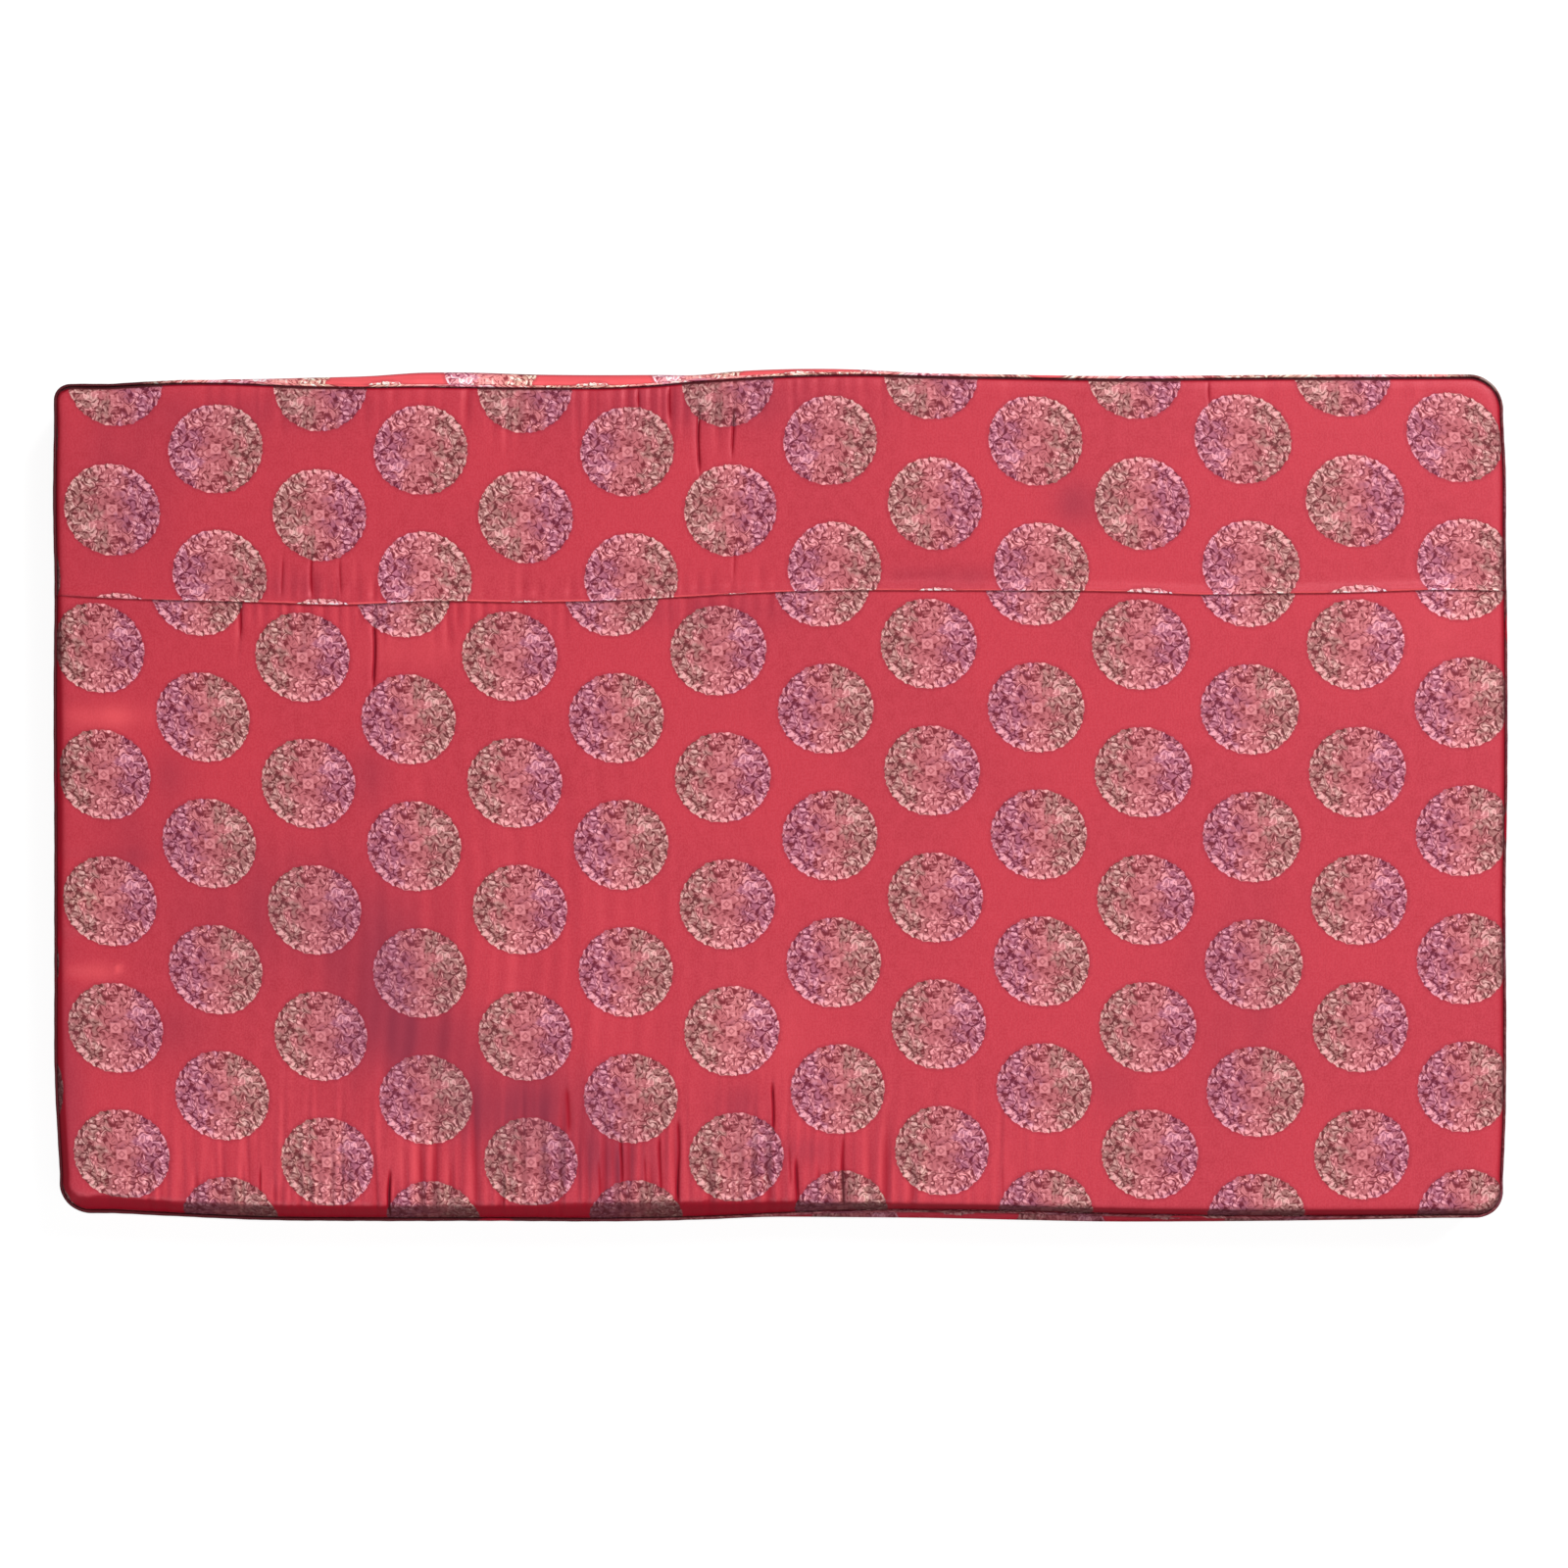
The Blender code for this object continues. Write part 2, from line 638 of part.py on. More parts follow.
def make_boxing(collection):
    """The boxing: one band of cloth round the four sides, rolled over the back shoulder."""
    rims = rim_loop()
    sections = [boxing_section(rim, fold_depth(rim)) for rim in rims]
    mesh = bmesh.new()
    tag = mesh.verts.layers.int.new("rim")
    bmesh.ops.create_circle(mesh, segments=len(rims), radius=1.0)
    for index, vert in enumerate(mesh.verts):
        vert[tag] = index
        vert.co = rim_place(rims[index], *sections[index][0])
    lower = [section[1:] for section in sections]
    extrude_rings(mesh, list(mesh.edges), tag, rims, lower)
    bmesh.ops.recalc_face_normals(mesh, faces=mesh.faces)
    centre = Vector((0.0, 0.0, FULL_Z * MM))
    face = next(iter(mesh.faces))
    if face.normal.dot(face.calc_center_median() - centre) < 0:
        bmesh.ops.reverse_faces(mesh, faces=mesh.faces)
    material = make_material("boxing_satin", LIT_SATIN, 0.42)
    band = add_object("boxing", mesh, material, collection)
    add_thickness(band)
    return band


def make_welt(collection):
    """The welt: a thin covered cord in the top seam, all the way round."""
    curve = bpy.data.curves.new("top_welt", "CURVE")
    curve.dimensions = "3D"
    curve.bevel_depth = WELT_RADIUS * MM
    curve.bevel_resolution = 1
    curve.resolution_u = 1
    rims = rim_loop()
    spline = curve.splines.new("POLY")
    spline.points.add(len(rims) - 1)
    for point, rim in zip(spline.points, rims):
        place = rim_place(rim, edge_size(rim, "welt_in"), edge_size(rim, "seam_z"))
        point.co = (*place, 1.0)
    spline.use_cyclic_u = True
    curve.materials.append(make_material("welt_satin", WELT_MIX, 0.45))
    item = bpy.data.objects.new("top_welt", curve)
    collection.objects.link(item)
    return item


def main():
    for item in list(bpy.data.objects):
        bpy.data.objects.remove(item, do_unlink=True)
    collection = bpy.data.collections.new("long_seat_cushion")
    bpy.context.scene.collection.children.link(collection)
    make_pad(collection)
    make_back_panel(collection)
    make_boxing(collection)
    make_welt(collection)


main()
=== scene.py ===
"""Looks of the long seat cushion: figured red satin over a filled pad.

The back panel laps over the pad's front panel, the boxing closes the sides and a thin welt
covers the top seam. All four are cut from one red satin with rows of woven roundels, so every
piece carries a "cloth" map: columns and rows of roundels.

The tables are in millimetres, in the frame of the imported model: +X along the cushion, +Y to
its back edge, +Z up. Objects are in metres.
"""

import math
from collections import namedtuple
from functools import partialmethod

import bpy
import numpy as np
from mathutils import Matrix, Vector


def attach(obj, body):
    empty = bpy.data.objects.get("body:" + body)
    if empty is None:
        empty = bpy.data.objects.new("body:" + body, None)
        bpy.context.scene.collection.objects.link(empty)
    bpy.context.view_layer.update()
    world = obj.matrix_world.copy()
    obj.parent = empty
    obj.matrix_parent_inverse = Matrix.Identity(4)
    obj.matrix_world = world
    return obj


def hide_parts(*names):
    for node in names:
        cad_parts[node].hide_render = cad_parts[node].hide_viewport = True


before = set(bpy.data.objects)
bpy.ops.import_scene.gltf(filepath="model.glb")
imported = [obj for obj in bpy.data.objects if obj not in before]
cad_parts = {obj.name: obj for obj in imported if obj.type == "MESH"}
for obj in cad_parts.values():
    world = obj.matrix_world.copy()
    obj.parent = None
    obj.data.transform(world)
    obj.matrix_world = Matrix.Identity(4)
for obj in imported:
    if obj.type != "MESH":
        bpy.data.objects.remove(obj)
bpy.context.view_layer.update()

MM = 0.001
TURN = 2 * math.pi

# Driving sizes of the cushion
HALF_LENGTH = 600
HALF_WIDTH = 350
SHOULDER_Z = 58.5
CROWN = 7.5
CORNER = 34
WELT_RADIUS = 1.9

# The welt's radius and how far out it lies; it is slimmer where the boxing rolls over the back
WELT_FACE = 1.25
ROLLED_WELT_FACE = 0.85
WELT_OUT = 0.65

# Corner radii by side along X (-1 left, 1 right) and side along Y (-1 front, 1 back)
CORNER_RADIUS = {(-1, -1): 26, (1, -1): 23, (1, 1): 30, (-1, 1): 14}

# Each edge, a row per place along it: the outer line's distance from the middle, how far the
# welt's centre and the top's crease lie inside it, and the height of the welt's centre
OUTER, WELT_IN, CREASE_IN, SEAM_Z = 1, 2, 3, 4
BACK_EDGE = (
    (-555, 339, 2.1, 6.5, 53), (-490, 343.2, 3.2, 7.8, 54), (-458, 344.2, 4.4, 9, 55),
    (-393, 345.2, 8.2, 12.8, 56), (-340, 346.4, 10.4, 15, 57), (-296, 349.2, 12.6, 17.6, 57),
    (-264, 349.4, 13.2, 18, 57), (-199, 347.6, 12.1, 16.8, 57), (-134, 347.2, 11.4, 16.2, 57),
    (-102, 347.4, 9.6, 14.2, 56), (-70, 347.8, 6.9, 11.4, 56), (-38, 350.6, 7.4, 12, 56),
    (28, 353, 6.6, 11.2, 55), (70, 352.4, 5.4, 10.2, 54), (125, 349, 3.4, 8, 53),
    (190, 347.8, 3.2, 7.8, 53), (254, 346.5, 3, 7.6, 53), (416, 347.2, 2.9, 7.5, 53),
    (560, 347.5, 2.7, 7.2, 53))
FRONT_EDGE = (
    (-555, 346.8, 2.1, 18.4, 46), (-499, 349.7, 2.1, 15, 45), (-434, 352.6, 2.1, 15.6, 44),
    (-337, 353.6, 2.1, 15.4, 44), (-232, 353.5, 2.1, 16.4, 44), (-142, 353.9, 2.1, 18.6, 44),
    (-78, 353, 2.3, 18.4, 44), (-5, 351.4, 3.8, 17, 44), (44, 351.2, 6, 15.6, 45),
    (133, 351.7, 7.4, 14.8, 46), (198, 353, 7.8, 14.8, 47), (262, 354.4, 7.4, 14.2, 47),
    (360, 354.7, 5.8, 13.6, 48), (489, 353.3, 4.4, 11.6, 48), (565, 351.6, 3.4, 10, 49))
LEFT_EDGE = (
    (-315, 595.6, 2.1, 11, 49), (-234, 599.2, 2.1, 10, 52), (-153, 599.3, 2.1, 9, 53),
    (-32, 599.4, 2.1, 9.6, 53), (90, 599.9, 2.1, 9.4, 53), (170, 599, 2.1, 6.8, 54),
    (251, 600.2, 2.1, 6.6, 54), (315, 599.4, 2.1, 6.5, 54))
RIGHT_EDGE = (
    (-315, 597.9, 2.4, 7, 50), (-267, 599.6, 2.2, 6.6, 51), (-194, 599.9, 2.1, 6.5, 52),
    (-72, 599.4, 2.1, 6.5, 52), (-15, 600.5, 2.1, 6.6, 52), (138, 600.4, 2.1, 6.6, 53),
    (219, 599.4, 2.1, 6.5, 53), (262, 599.4, 2.1, 6.5, 53), (315, 597, 2.1, 6.5, 53))

# The lap: the line along which the back panel's folded edge lies on the front panel
LAP_LEVEL = 163
LAP_REACH = 60
LAP_ROWS = (-3.2, -2.1, -1.3, -0.6, 0.2, 1.2, 3)
# Painted shadow under the lip, and the strength of the painted highlight on its fold
LAP_SHADE = 0.22
LIP_HIGHLIGHT = 1.4
LAP_LINE = (
    (-600, 166.6), (-555, 164), (-507, 161.5), (-458, 160), (-410, 158.3), (-361, 156.7),
    (-329, 157.5), (-296, 158.8), (-215, 158.3), (-134, 160), (-70, 163.2), (27, 166.4),
    (76, 167.2), (189, 168), (287, 167.2), (351, 164.8), (400, 165.6), (465, 166.4), (546, 168.8),
    (600, 168))

# The lap's folded lip, from under its nose to the flat: distance behind the lap line, height,
# distance along the cloth, and how much painted highlight falls on the fold
LIP = (
    (0.6, 0.3, -2.4, 0), (0.1, 0.8, -1.7, 0.1), (0, 1.35, -1.1, 0.4), (0.35, 1.95, -0.4, 0.8),
    (1, 2.3, 0.4, 0.55), (1.9, 2.35, 1.3, 0), (3.1, 2.1, 2.6, 0), (4.6, 1.5, 4.2, 0),
    (6.4, 0.7, 6.2, 0), (8.6, 0.25, 8.5, 0), (11, 0, 11, 0))

# Sharp folds that run across the cushion, a row each: place, ends, depth and half width
FRONT_FOLDS = (
    (-445, 132, 160, 1.5, 2.4), (-430, -330, -306, 1.4, 2), (-334, 90, 140, 2.2, 2.6),
    (-323, -345, -308, 2, 2.2), (-228, -336, -312, 1, 2.2), (-175, -275, -240, 1.3, 4.5),
    (-149, -330, -300, 1.1, 2.2), (-131, -318, -282, 2, 2.2), (-111, -326, -296, 1.1, 2.2),
    (-99, -324, -280, 1.6, 2.4), (-84, -332, -268, 1.7, 2.2), (-6, -278, -238, 2.2, 2.2),
    (8, -320, -288, 1, 2), (14, -340, -300, 1.8, 2.2), (31, -334, -306, 0.9, 2.2),
    (52, -338, -280, 1.1, 2.2), (183, -332, -306, 0.7, 2.2))
BACK_FOLDS = (
    (-410, 166, 196, 1, 2.4), (-386, 166, 200, 1.4, 2.4), (-362, 166, 194, 1, 2.4),
    (-117, 320, 336, 1.2, 2), (-91, 312, 338, 1.6, 2.2), (-67, 268, 318, 2.1, 2.2),
    (-39, 280, 314, 1.6, 2.2), (-38, 180, 202, 0.9, 2.4), (354, 324, 342, 1.2, 2))

# Runs of soft gathers beside a seam, a row each: ends along X, the seam's place (none: the
# lap), the way they run from it, and their mean reach, spacing and depth
FRONT_GATHERS = (
    (-560, -300, -338, 1, 58, 8, 1.5), (-300, -60, -338, 1, 98, 10.5, 1.6),
    (-60, 120, -338, 1, 74, 11.5, 1.5), (120, 280, -338, 1, 44, 16, 0.4),
    (-470, -230, None, -1, 46, 10, 0.8), (-230, 20, None, -1, 34, 12, 0.5))
BACK_GATHERS = (
    (-430, -300, None, 1, 38, 10, 0.8), (-300, 0, None, 1, 28, 12, 0.45),
    (-480, -260, 338, -1, 40, 13, 0.5), (-260, -20, 338, -1, 52, 10.5, 0.9),
    (-20, 160, 338, -1, 36, 12, 0.5), (160, 560, 338, -1, 26, 18, 0.25))
GATHER_SEED = 11

# Puckers that run in from the left edge, a row each: place, reach, depth, half width
LEFT_PUCKERS = (
    (-152, 45, 0.9, 9), (-121, 75, 1.8, 12), (-88, 48, 0.8, 9), (-56, 55, 1.3, 12),
    (20, 44, 0.9, 10), (74, 40, 0.7, 10))

# Waves in the slack front left of the top, finer cords on them, pleats along the front, and
# the painted light and shade from the tilt of the cloth
WAVE_CENTRE = (-250, -175)
WAVE_SPREAD = (130, 140)
WAVE_LENGTH = 88
WAVE_HEIGHT = 0.9
CORD_LENGTHS = (14.5, 23, 37)
CORD_HEIGHT = 0.16
PLEAT_LENGTHS = (8.6, 12.1, 19)
PLEAT_HEIGHT = 0.17
TILT_STEP = 1.2
TILT_LIGHT_GAIN = 0.75
TILT_LIMITS = (-0.22, 0.45)

# Faint folds along the cushion: centre, half length, depth and half width
FAINT_LINES = (
    (130, 180, 45, 0.45, 4), (-420, -60, 60, 0.35, 6), (-20, -130, 60, 0.3, 6))

# Roundels, a row per column of them from the left: the centres of the first and the last one
FRONT_COLUMNS = (
    (-563.6, 121, -544.1, -297.6), (-476.1, 63.6, -459.9, -249), (-394.3, 113, -374.1, -304),
    (-306.1, 61.9, -292.3, -252.2), (-223.5, 113.8, -205.7, -304), (-134.4, 62.8, -123.1, -251.4),
    (-51.8, 118.6, -36.4, -300), (38.9, 70.8, 48.6, -243.3), (121.5, 124.3, 132.8, -294.3),
    (212.1, 71.7, 218.6, -242.5), (296.3, 123.5, 304.4, -297.6), (388.7, 70, 393.5, -245.7),
    (474.5, 123.5, 481, -297.6), (565.2, 75.7, 566, -241.7))
BACK_COLUMNS = (
    (-552.2, 235.2, -545.7, 127.9), (-468, 285.4, -462.3, 181.8), (-380.6, 230.4, -375.7, 122.7),
    (-298, 284.6, -293.1, 180.2), (-210.5, 228.7, -206.5, 120.6), (-126.3, 283, -122.3, 178.5),
    (-41.3, 234.4, -37.2, 127.1), (40.5, 292.7, 44.5, 188.3), (127.9, 240.1, 131.2, 131.6),
    (210.5, 291.9, 215.4, 187.4), (298.8, 240.1, 304.4, 131.3), (382.2, 293.5, 387.9, 189.1),
    (475.3, 242.5, 480.1, 134.4), (560.3, 295.1, 566.8, 190.7))
PITCH_X = 85.4
PITCH_Y = 104.5

# How far the cloth is drawn along the cushion near the back seam, by place
BACK_DRAWN = (
    (-552, 8), (-380, 4.9), (-210, 3.1), (-41, 1.9), (128, 0.4), (300, -0.5), (475, -4.9),
    (600, -6))
DRAWN_FROM = 262
DRAWN_RUN = 76

# The roundels were measured at the seam's height; the top lies nearer to the eye
TOP_NEARER = 1.0034

# Half width and half height of a roundel, as shares of a column and of a row
ROUNDEL_X = 0.46
ROUNDEL_Y = 0.356

# Patches of painted dull, more purple shade (1) or painted highlight (-1) on the satin, with
# one real stain and one pale speck among them: centre, reach, strength
LIGHT_AND_STAIN_PATCHES = (
    (-325, -153, 40, 62, 0.75), (-300, -202, 52, 34, 0.75), (-219, -257, 64, 36, 1),
    (-141, -299, 38, 28, 0.75), (-402, -97, 105, 62, 0.45), (-503, -194, 28, 24, 0.4),
    (-530, -30, 42, 30, 0.25), (-503, 17, 18, 22, 0.4), (-337, 17, 16, 26, 0.45),
    (-33, -255, 22, 20, 0.45), (20, -292, 32, 12, 0.35), (380, -170, 48, 95, 0.3),
    (270, -234, 18, 26, 0.35), (244, 240, 17, 19, 0.7), (-540, 260, 42, 90, 0.3),
    (135, 180, 52, 8, 0.35), (-60, 152, 64, 18, 0.4), (-440, 320, 90, 18, 0.35),
    (-70, 322, 130, 20, 0.4), (-420, 172, 70, 14, 0.35), (-535, -52, 26, 10, 0.3),
    (-545, -144, 2.2, 3.6, -1), (-590, -240, 16, 90, 0.5), (-556, 64, 34, 10, -0.55),
    (-570, -86, 18, 9, -0.35), (-568, -147, 24, 8, -0.55), (-304, 178, 90, 16, -0.15),
    (-300, 118, 42, 14, -0.2), (530, 130, 50, 45, -0.15), (-14, -190, 42, 60, -0.14),
    (-290, -292, 34, 22, -0.2))

# Depth of shade on the welt, by place along the edge
BACK_SHADE = (
    (-600, 0.9), (-540, 0.85), (-500, 0.15), (-420, 0), (552, 0), (574, 0.6))
FRONT_SHADE = (
    (-600, 0.7), (-120, 0.6), (0, 0.4), (200, 0.35), (600, 0.4))
SIDE_SHADES = (0.88, 0.5)

# Shade per millimetre of fold and of gather, on turned-down edges and per millimetre of drop at
# the back right corner, and the cloth taken per millimetre of drop
FOLD_SHADE = 0.42
GATHER_SHADE = 0.2
TURNED_SHADE = 0.5
CORNER_SHADE = 0.55
SLOPE_CLOTH = 0.55

# Rings between the rim and the flat, and how they close up towards the rim
RINGS = 12
RING_GRADE = 1.25
SHOULDER_DROP = 1.2
SHOULDER_RUN = 6

# Where a panel's edge meets the welt, from the welt's centre
PANEL_IN = 0.75
PANEL_DROP = 1.3
SIDE_PANEL_DROP = -0.8
# The drop at which the painted shade in the back groove begins
BACK_GROOVE_DROP = 0.8

# Fullness of the rolled edge: 1 is a straight slope, 2 a quarter round
FRONT_FULLNESS = 1.2
BACK_FULLNESS = 2

# Cloth thickness, and how far the pad lies under the back panel's face
CLOTH = 0.9
SUNK_IN = 1.6
SUNK_DOWN = 2
SINK_START = 2.5
SINK_RUN = 5

# The side: heights of the boxing's fullest line, its lower line and its bottom seam
FULL_Z = 31
ROLLED_FULL_Z = 45
LOWER_Z = 17
BOTTOM_SEAM_Z = 4.5
SIDE_INSET = 0.3
LOWER_INSET = 0.5
BOTTOM_SEAM_INSET = 2.8
BASE_INSET = 8
SHOULDER_ANGLE = math.radians(40)
UPRIGHT_START = math.radians(75)
ROLLED_START = math.radians(10)
ROLL_FROM = 2
ROLL_RANGE = 9
START_GAP = 0.15
WALL_GAP = 0.5
BOXING_RINGS = 24

# A roundel of the boxing: its place along the back edge, and its depth below the welt
BOXING_ROUNDEL_X = -410
BOXING_ROUNDEL_DEPTH = 18

# Fold along the boxing where it rolls over the back shoulder
FOLD_FROM = -430
FOLD_TO = -110
FOLD_DEPTH = 1.1
FOLD_RING = 5
FOLD_RINGS_WIDE = 1.3
CRUMPLE_DEPTH = 0.16

# Grid steps of the top: closer in the slack left and middle, wider in the taut right
SLACK_FROM = -450
SLACK_END = 120
END_STEP = 3.4
SLACK_STEP = 2.7
TAUT_STEP = 4.4
ROW_STEP = 3.4
HIDDEN_STEP = 16
HIDDEN_FROM = 7
LEAST_STEP = 1.5
FOLD_OFFSETS = (-3, -1.6, -0.7, 0, 0.7, 1.6, 3)
RIM_STEP = 3
CORNER_POINTS = 28
WELT_SIDES = 12

Rim = namedtuple("Rim", "x y out_x out_y")
Grid = namedtuple("Grid", "x y rim pole_x pole_y share is_edge")
Laid = namedtuple("Laid", "x y shift_x shift_y drop")
Panel = namedtuple("Panel", "columns folds gathers")
FRONT = Panel(FRONT_COLUMNS, FRONT_FOLDS, FRONT_GATHERS)
BACK = Panel(BACK_COLUMNS, BACK_FOLDS, BACK_GATHERS)


def blend(first, second, share):
    return first + (second - first) * share


def smooth(share):
    share = np.clip(share, 0, 1)
    return share * share * (3 - 2 * share)


def lookup(rows, along, column=1):
    """A column of a table at places along it: a cubic curve, held level past its ends."""
    places, values = np.array(rows, float)[:, (0, column)].T
    slopes = np.gradient(values, places)
    at = np.clip(along, places[0], places[-1])
    index = np.clip(np.searchsorted(places, at) - 1, 0, len(places) - 2)
    width = places[index + 1] - places[index]
    share = (at - places[index]) / width
    leave = share * (1 - share) ** 2 * (slopes[index] * width)
    arrive = share ** 2 * (share - 1) * (slopes[index + 1] * width)
    return blend(values[index], values[index + 1], smooth(share)) + leave + arrive


def edge_sizes(x, y, column):
    """A column of the edge tables at the end and at the long edge nearest to each place."""
    end = np.where(x > 0, lookup(RIGHT_EDGE, y, column), lookup(LEFT_EDGE, y, column))
    side = np.where(y > 0, lookup(BACK_EDGE, x, column), lookup(FRONT_EDGE, x, column))
    return end, side


def edge_size(rim, column):
    """Size from the edge tables at points of the outline, blended round the corners."""
    end, side = edge_sizes(rim.x, rim.y, column)
    return rim.out_x ** 2 * end + rim.out_y ** 2 * side


def warp_shift(x, y):
    """How far a place in the plain rectangle moves to follow the uneven edges."""
    end, side = edge_sizes(x, y, OUTER)
    shift_x = (end - HALF_LENGTH) * (x / HALF_LENGTH) ** 2 * np.where(x > 0, 1, -1)
    shift_y = (side - HALF_WIDTH) * (y / HALF_WIDTH) ** 2 * np.where(y > 0, 1, -1)
    return shift_x, shift_y


def corner_rim(side_x, side_y, share):
    """Points of the plain outline in the corners, from an end edge (0) to a long edge (1)."""
    radius = np.zeros_like(share)
    for (at_x, at_y), size in CORNER_RADIUS.items():
        radius = np.where((side_x == at_x) & (side_y == at_y), size, radius)
    straight = CORNER - radius
    arc = radius * math.pi / 2
    run = share * (2 * straight + arc)
    angle = np.clip((run - straight) / radius, 0, math.pi / 2)
    inset_x = radius * (1 - np.cos(angle)) + np.maximum(run - straight - arc, 0)
    inset_y = radius * (1 - np.sin(angle)) + np.maximum(straight - run, 0)
    return Rim(side_x * (HALF_LENGTH - inset_x), side_y * (HALF_WIDTH - inset_y),
               side_x * np.cos(angle), side_y * np.sin(angle))


def rim_place(rim, inset, height):
    """Points inside the uneven outline by an inset."""
    shift_x, shift_y = warp_shift(rim.x, rim.y)
    return np.stack([rim.x + shift_x - rim.out_x * inset, rim.y + shift_y - rim.out_y * inset,
                     height + 0 * rim.x], axis=-1)


def lap_y(x):
    return lookup(LAP_LINE, x)


def fold_depth(folds, x, y):
    """Depth of the sharp folds; each closes softly at its ends."""
    depth = np.zeros_like(x)
    for place, front, back, deep, half_width in folds:
        sway = 1.2 * np.sin((y - front) / 11 + place)
        across = np.clip(1 - np.abs(x - place - sway * 0.5) / half_width, 0, 1)
        along = smooth(0.5 + np.minimum(y - front, back - y) / 14)
        depth = np.maximum(depth, deep * across ** 1.4 * along)
    return depth


def gather_depth(runs, x, y):
    """Depth of the soft gathers that run from the seams, unevenly spaced."""
    random = np.random.default_rng(GATHER_SEED)
    depth = np.zeros_like(x)
    for start, end, seam, way, mean_reach, spacing, mean_depth in runs:
        away = way * (y - (lap_y(x) if seam is None else seam))
        for index in range(int((end - start) / spacing)):
            jitter, length, deep, lean = random.random(4)
            centre = start + spacing * (index + 0.2 + 0.6 * jitter)
            reach = mean_reach * (0.5 + 0.9 * length)
            near = np.abs(x - centre) < 2 * spacing
            offset = x[near] - centre - (lean - 0.5) * 0.1 * away[near]
            across = smooth(1 - np.abs(offset) / (spacing * (0.3 + 0.22 * deep)))
            along = smooth(1.5 - 1.5 * away[near] / reach) * (away[near] > -15)
            depth[near] += mean_depth * (0.35 + 0.95 * deep) * across * along
    return depth


def pucker_depth(x, y):
    """Depth of the puckers that run in from the left edge."""
    depth = np.zeros_like(x)
    for place, reach, deep, half_width in LEFT_PUCKERS:
        across = 1 - np.abs(y - place - 0.06 * (x + HALF_LENGTH)) / half_width
        along = 1 - (x + HALF_LENGTH) / reach
        depth = np.maximum(depth, deep * smooth(across) * smooth(2 * along))
    return depth


def wave_height(x, y):
    """Height of the waves, cords and pleats."""
    far_x, far_y = ((place - centre) / spread for place, centre, spread
                    in zip((x, y), WAVE_CENTRE, WAVE_SPREAD))
    fade = np.exp(-far_x ** 2 - far_y ** 2)
    waves = WAVE_HEIGHT * fade * np.cos(TURN * (x - WAVE_CENTRE[0]) / WAVE_LENGTH)
    for index, length in enumerate(CORD_LENGTHS):
        phase = TURN * (x + 6 * np.sin(y / 61 + index)) / length + 1.7 * index
        waves = waves + CORD_HEIGHT * fade ** 0.6 * np.sin(phase)
    pulled = smooth((-y - 205) / 90) * smooth((x + 560) / 60) * smooth((330 - x) / 220)
    for index, length in enumerate(PLEAT_LENGTHS):
        phase = TURN * (x + 5 * np.sin(y / 83 + index) + 9 * np.sin(x / 31)) / length
        waves = waves + PLEAT_HEIGHT * pulled * np.sin(phase + 2.3 * index)
    return waves


def line_depth(x, y):
    """Depth of the faint folds that run along the cushion."""
    depth = np.zeros_like(x)
    for at_x, at_y, half_length, deep, half_width in FAINT_LINES:
        across = smooth(1 - np.abs(y - at_y - 4 * np.sin((x - at_x) / 23)) / half_width)
        depth += deep * across * smooth(2 - 2 * np.abs(x - at_x) / half_length)
    return depth


def crown_height(x, y):
    share_x = np.minimum(np.abs(x) / HALF_LENGTH, 1)
    share_y = np.minimum(np.abs(y) / HALF_WIDTH, 1)
    return CROWN * (1 - share_x ** 4) * (1 - share_y ** 2)


def edge_drop(rim, inset, panel_start):
    """Depth of a panel's rolled edge under its flat, from the welt inwards."""
    seam = edge_size(rim, SEAM_Z) - blend(PANEL_DROP, SIDE_PANEL_DROP, np.abs(rim.out_x) > 0.7)
    crease = edge_size(rim, CREASE_IN)
    share = np.clip((inset - panel_start) / (crease - panel_start), 0, 1)
    turned = smooth((np.maximum(-rim.out_y, -rim.out_x) + 0.2) / 0.6)
    fullness = blend(BACK_FULLNESS, FRONT_FULLNESS, turned)
    rise = (1 - (1 - share) ** fullness) ** (1 / fullness)
    over = smooth((inset - panel_start) / (crease + SHOULDER_RUN - panel_start))
    return (SHOULDER_Z - SHOULDER_DROP - seam) * (1 - rise) + SHOULDER_DROP * (1 - over)


def spread(start, end, step):
    """Even places from a start up to, but not at, an end."""
    count = max(1, math.ceil((end - start) / step))
    return list(np.linspace(start, end, count, endpoint=False))


def grid_columns():
    """Places of the top's columns: even ones, and a closer set at each fold."""
    inner = HALF_LENGTH - CORNER
    kept = []
    folds = sorted(fold[0] for fold in FRONT_FOLDS + BACK_FOLDS)
    for place in (fold + offset for fold in folds for offset in FOLD_OFFSETS):
        if not kept or place - kept[-1] > 0.6:
            kept.append(place)
    kept = np.array(kept)
    even = (spread(-inner, SLACK_FROM, END_STEP) + spread(SLACK_FROM, SLACK_END, SLACK_STEP)
            + spread(SLACK_END, inner, TAUT_STEP) + [inner])
    even = [place for place in even
            if place in (-inner, inner) or np.abs(kept - place).min() > LEAST_STEP]
    rings = [HALF_LENGTH - CORNER * ring / RINGS for ring in range(RINGS)]
    return np.array(sorted([-place for place in rings] + list(kept) + even + rings))


def edge_rows(side):
    """Rows in the corner zone along the front (-1) or back (1) edge."""
    return [side * (HALF_WIDTH - CORNER * ring / RINGS) for ring in range(RINGS + 1)]


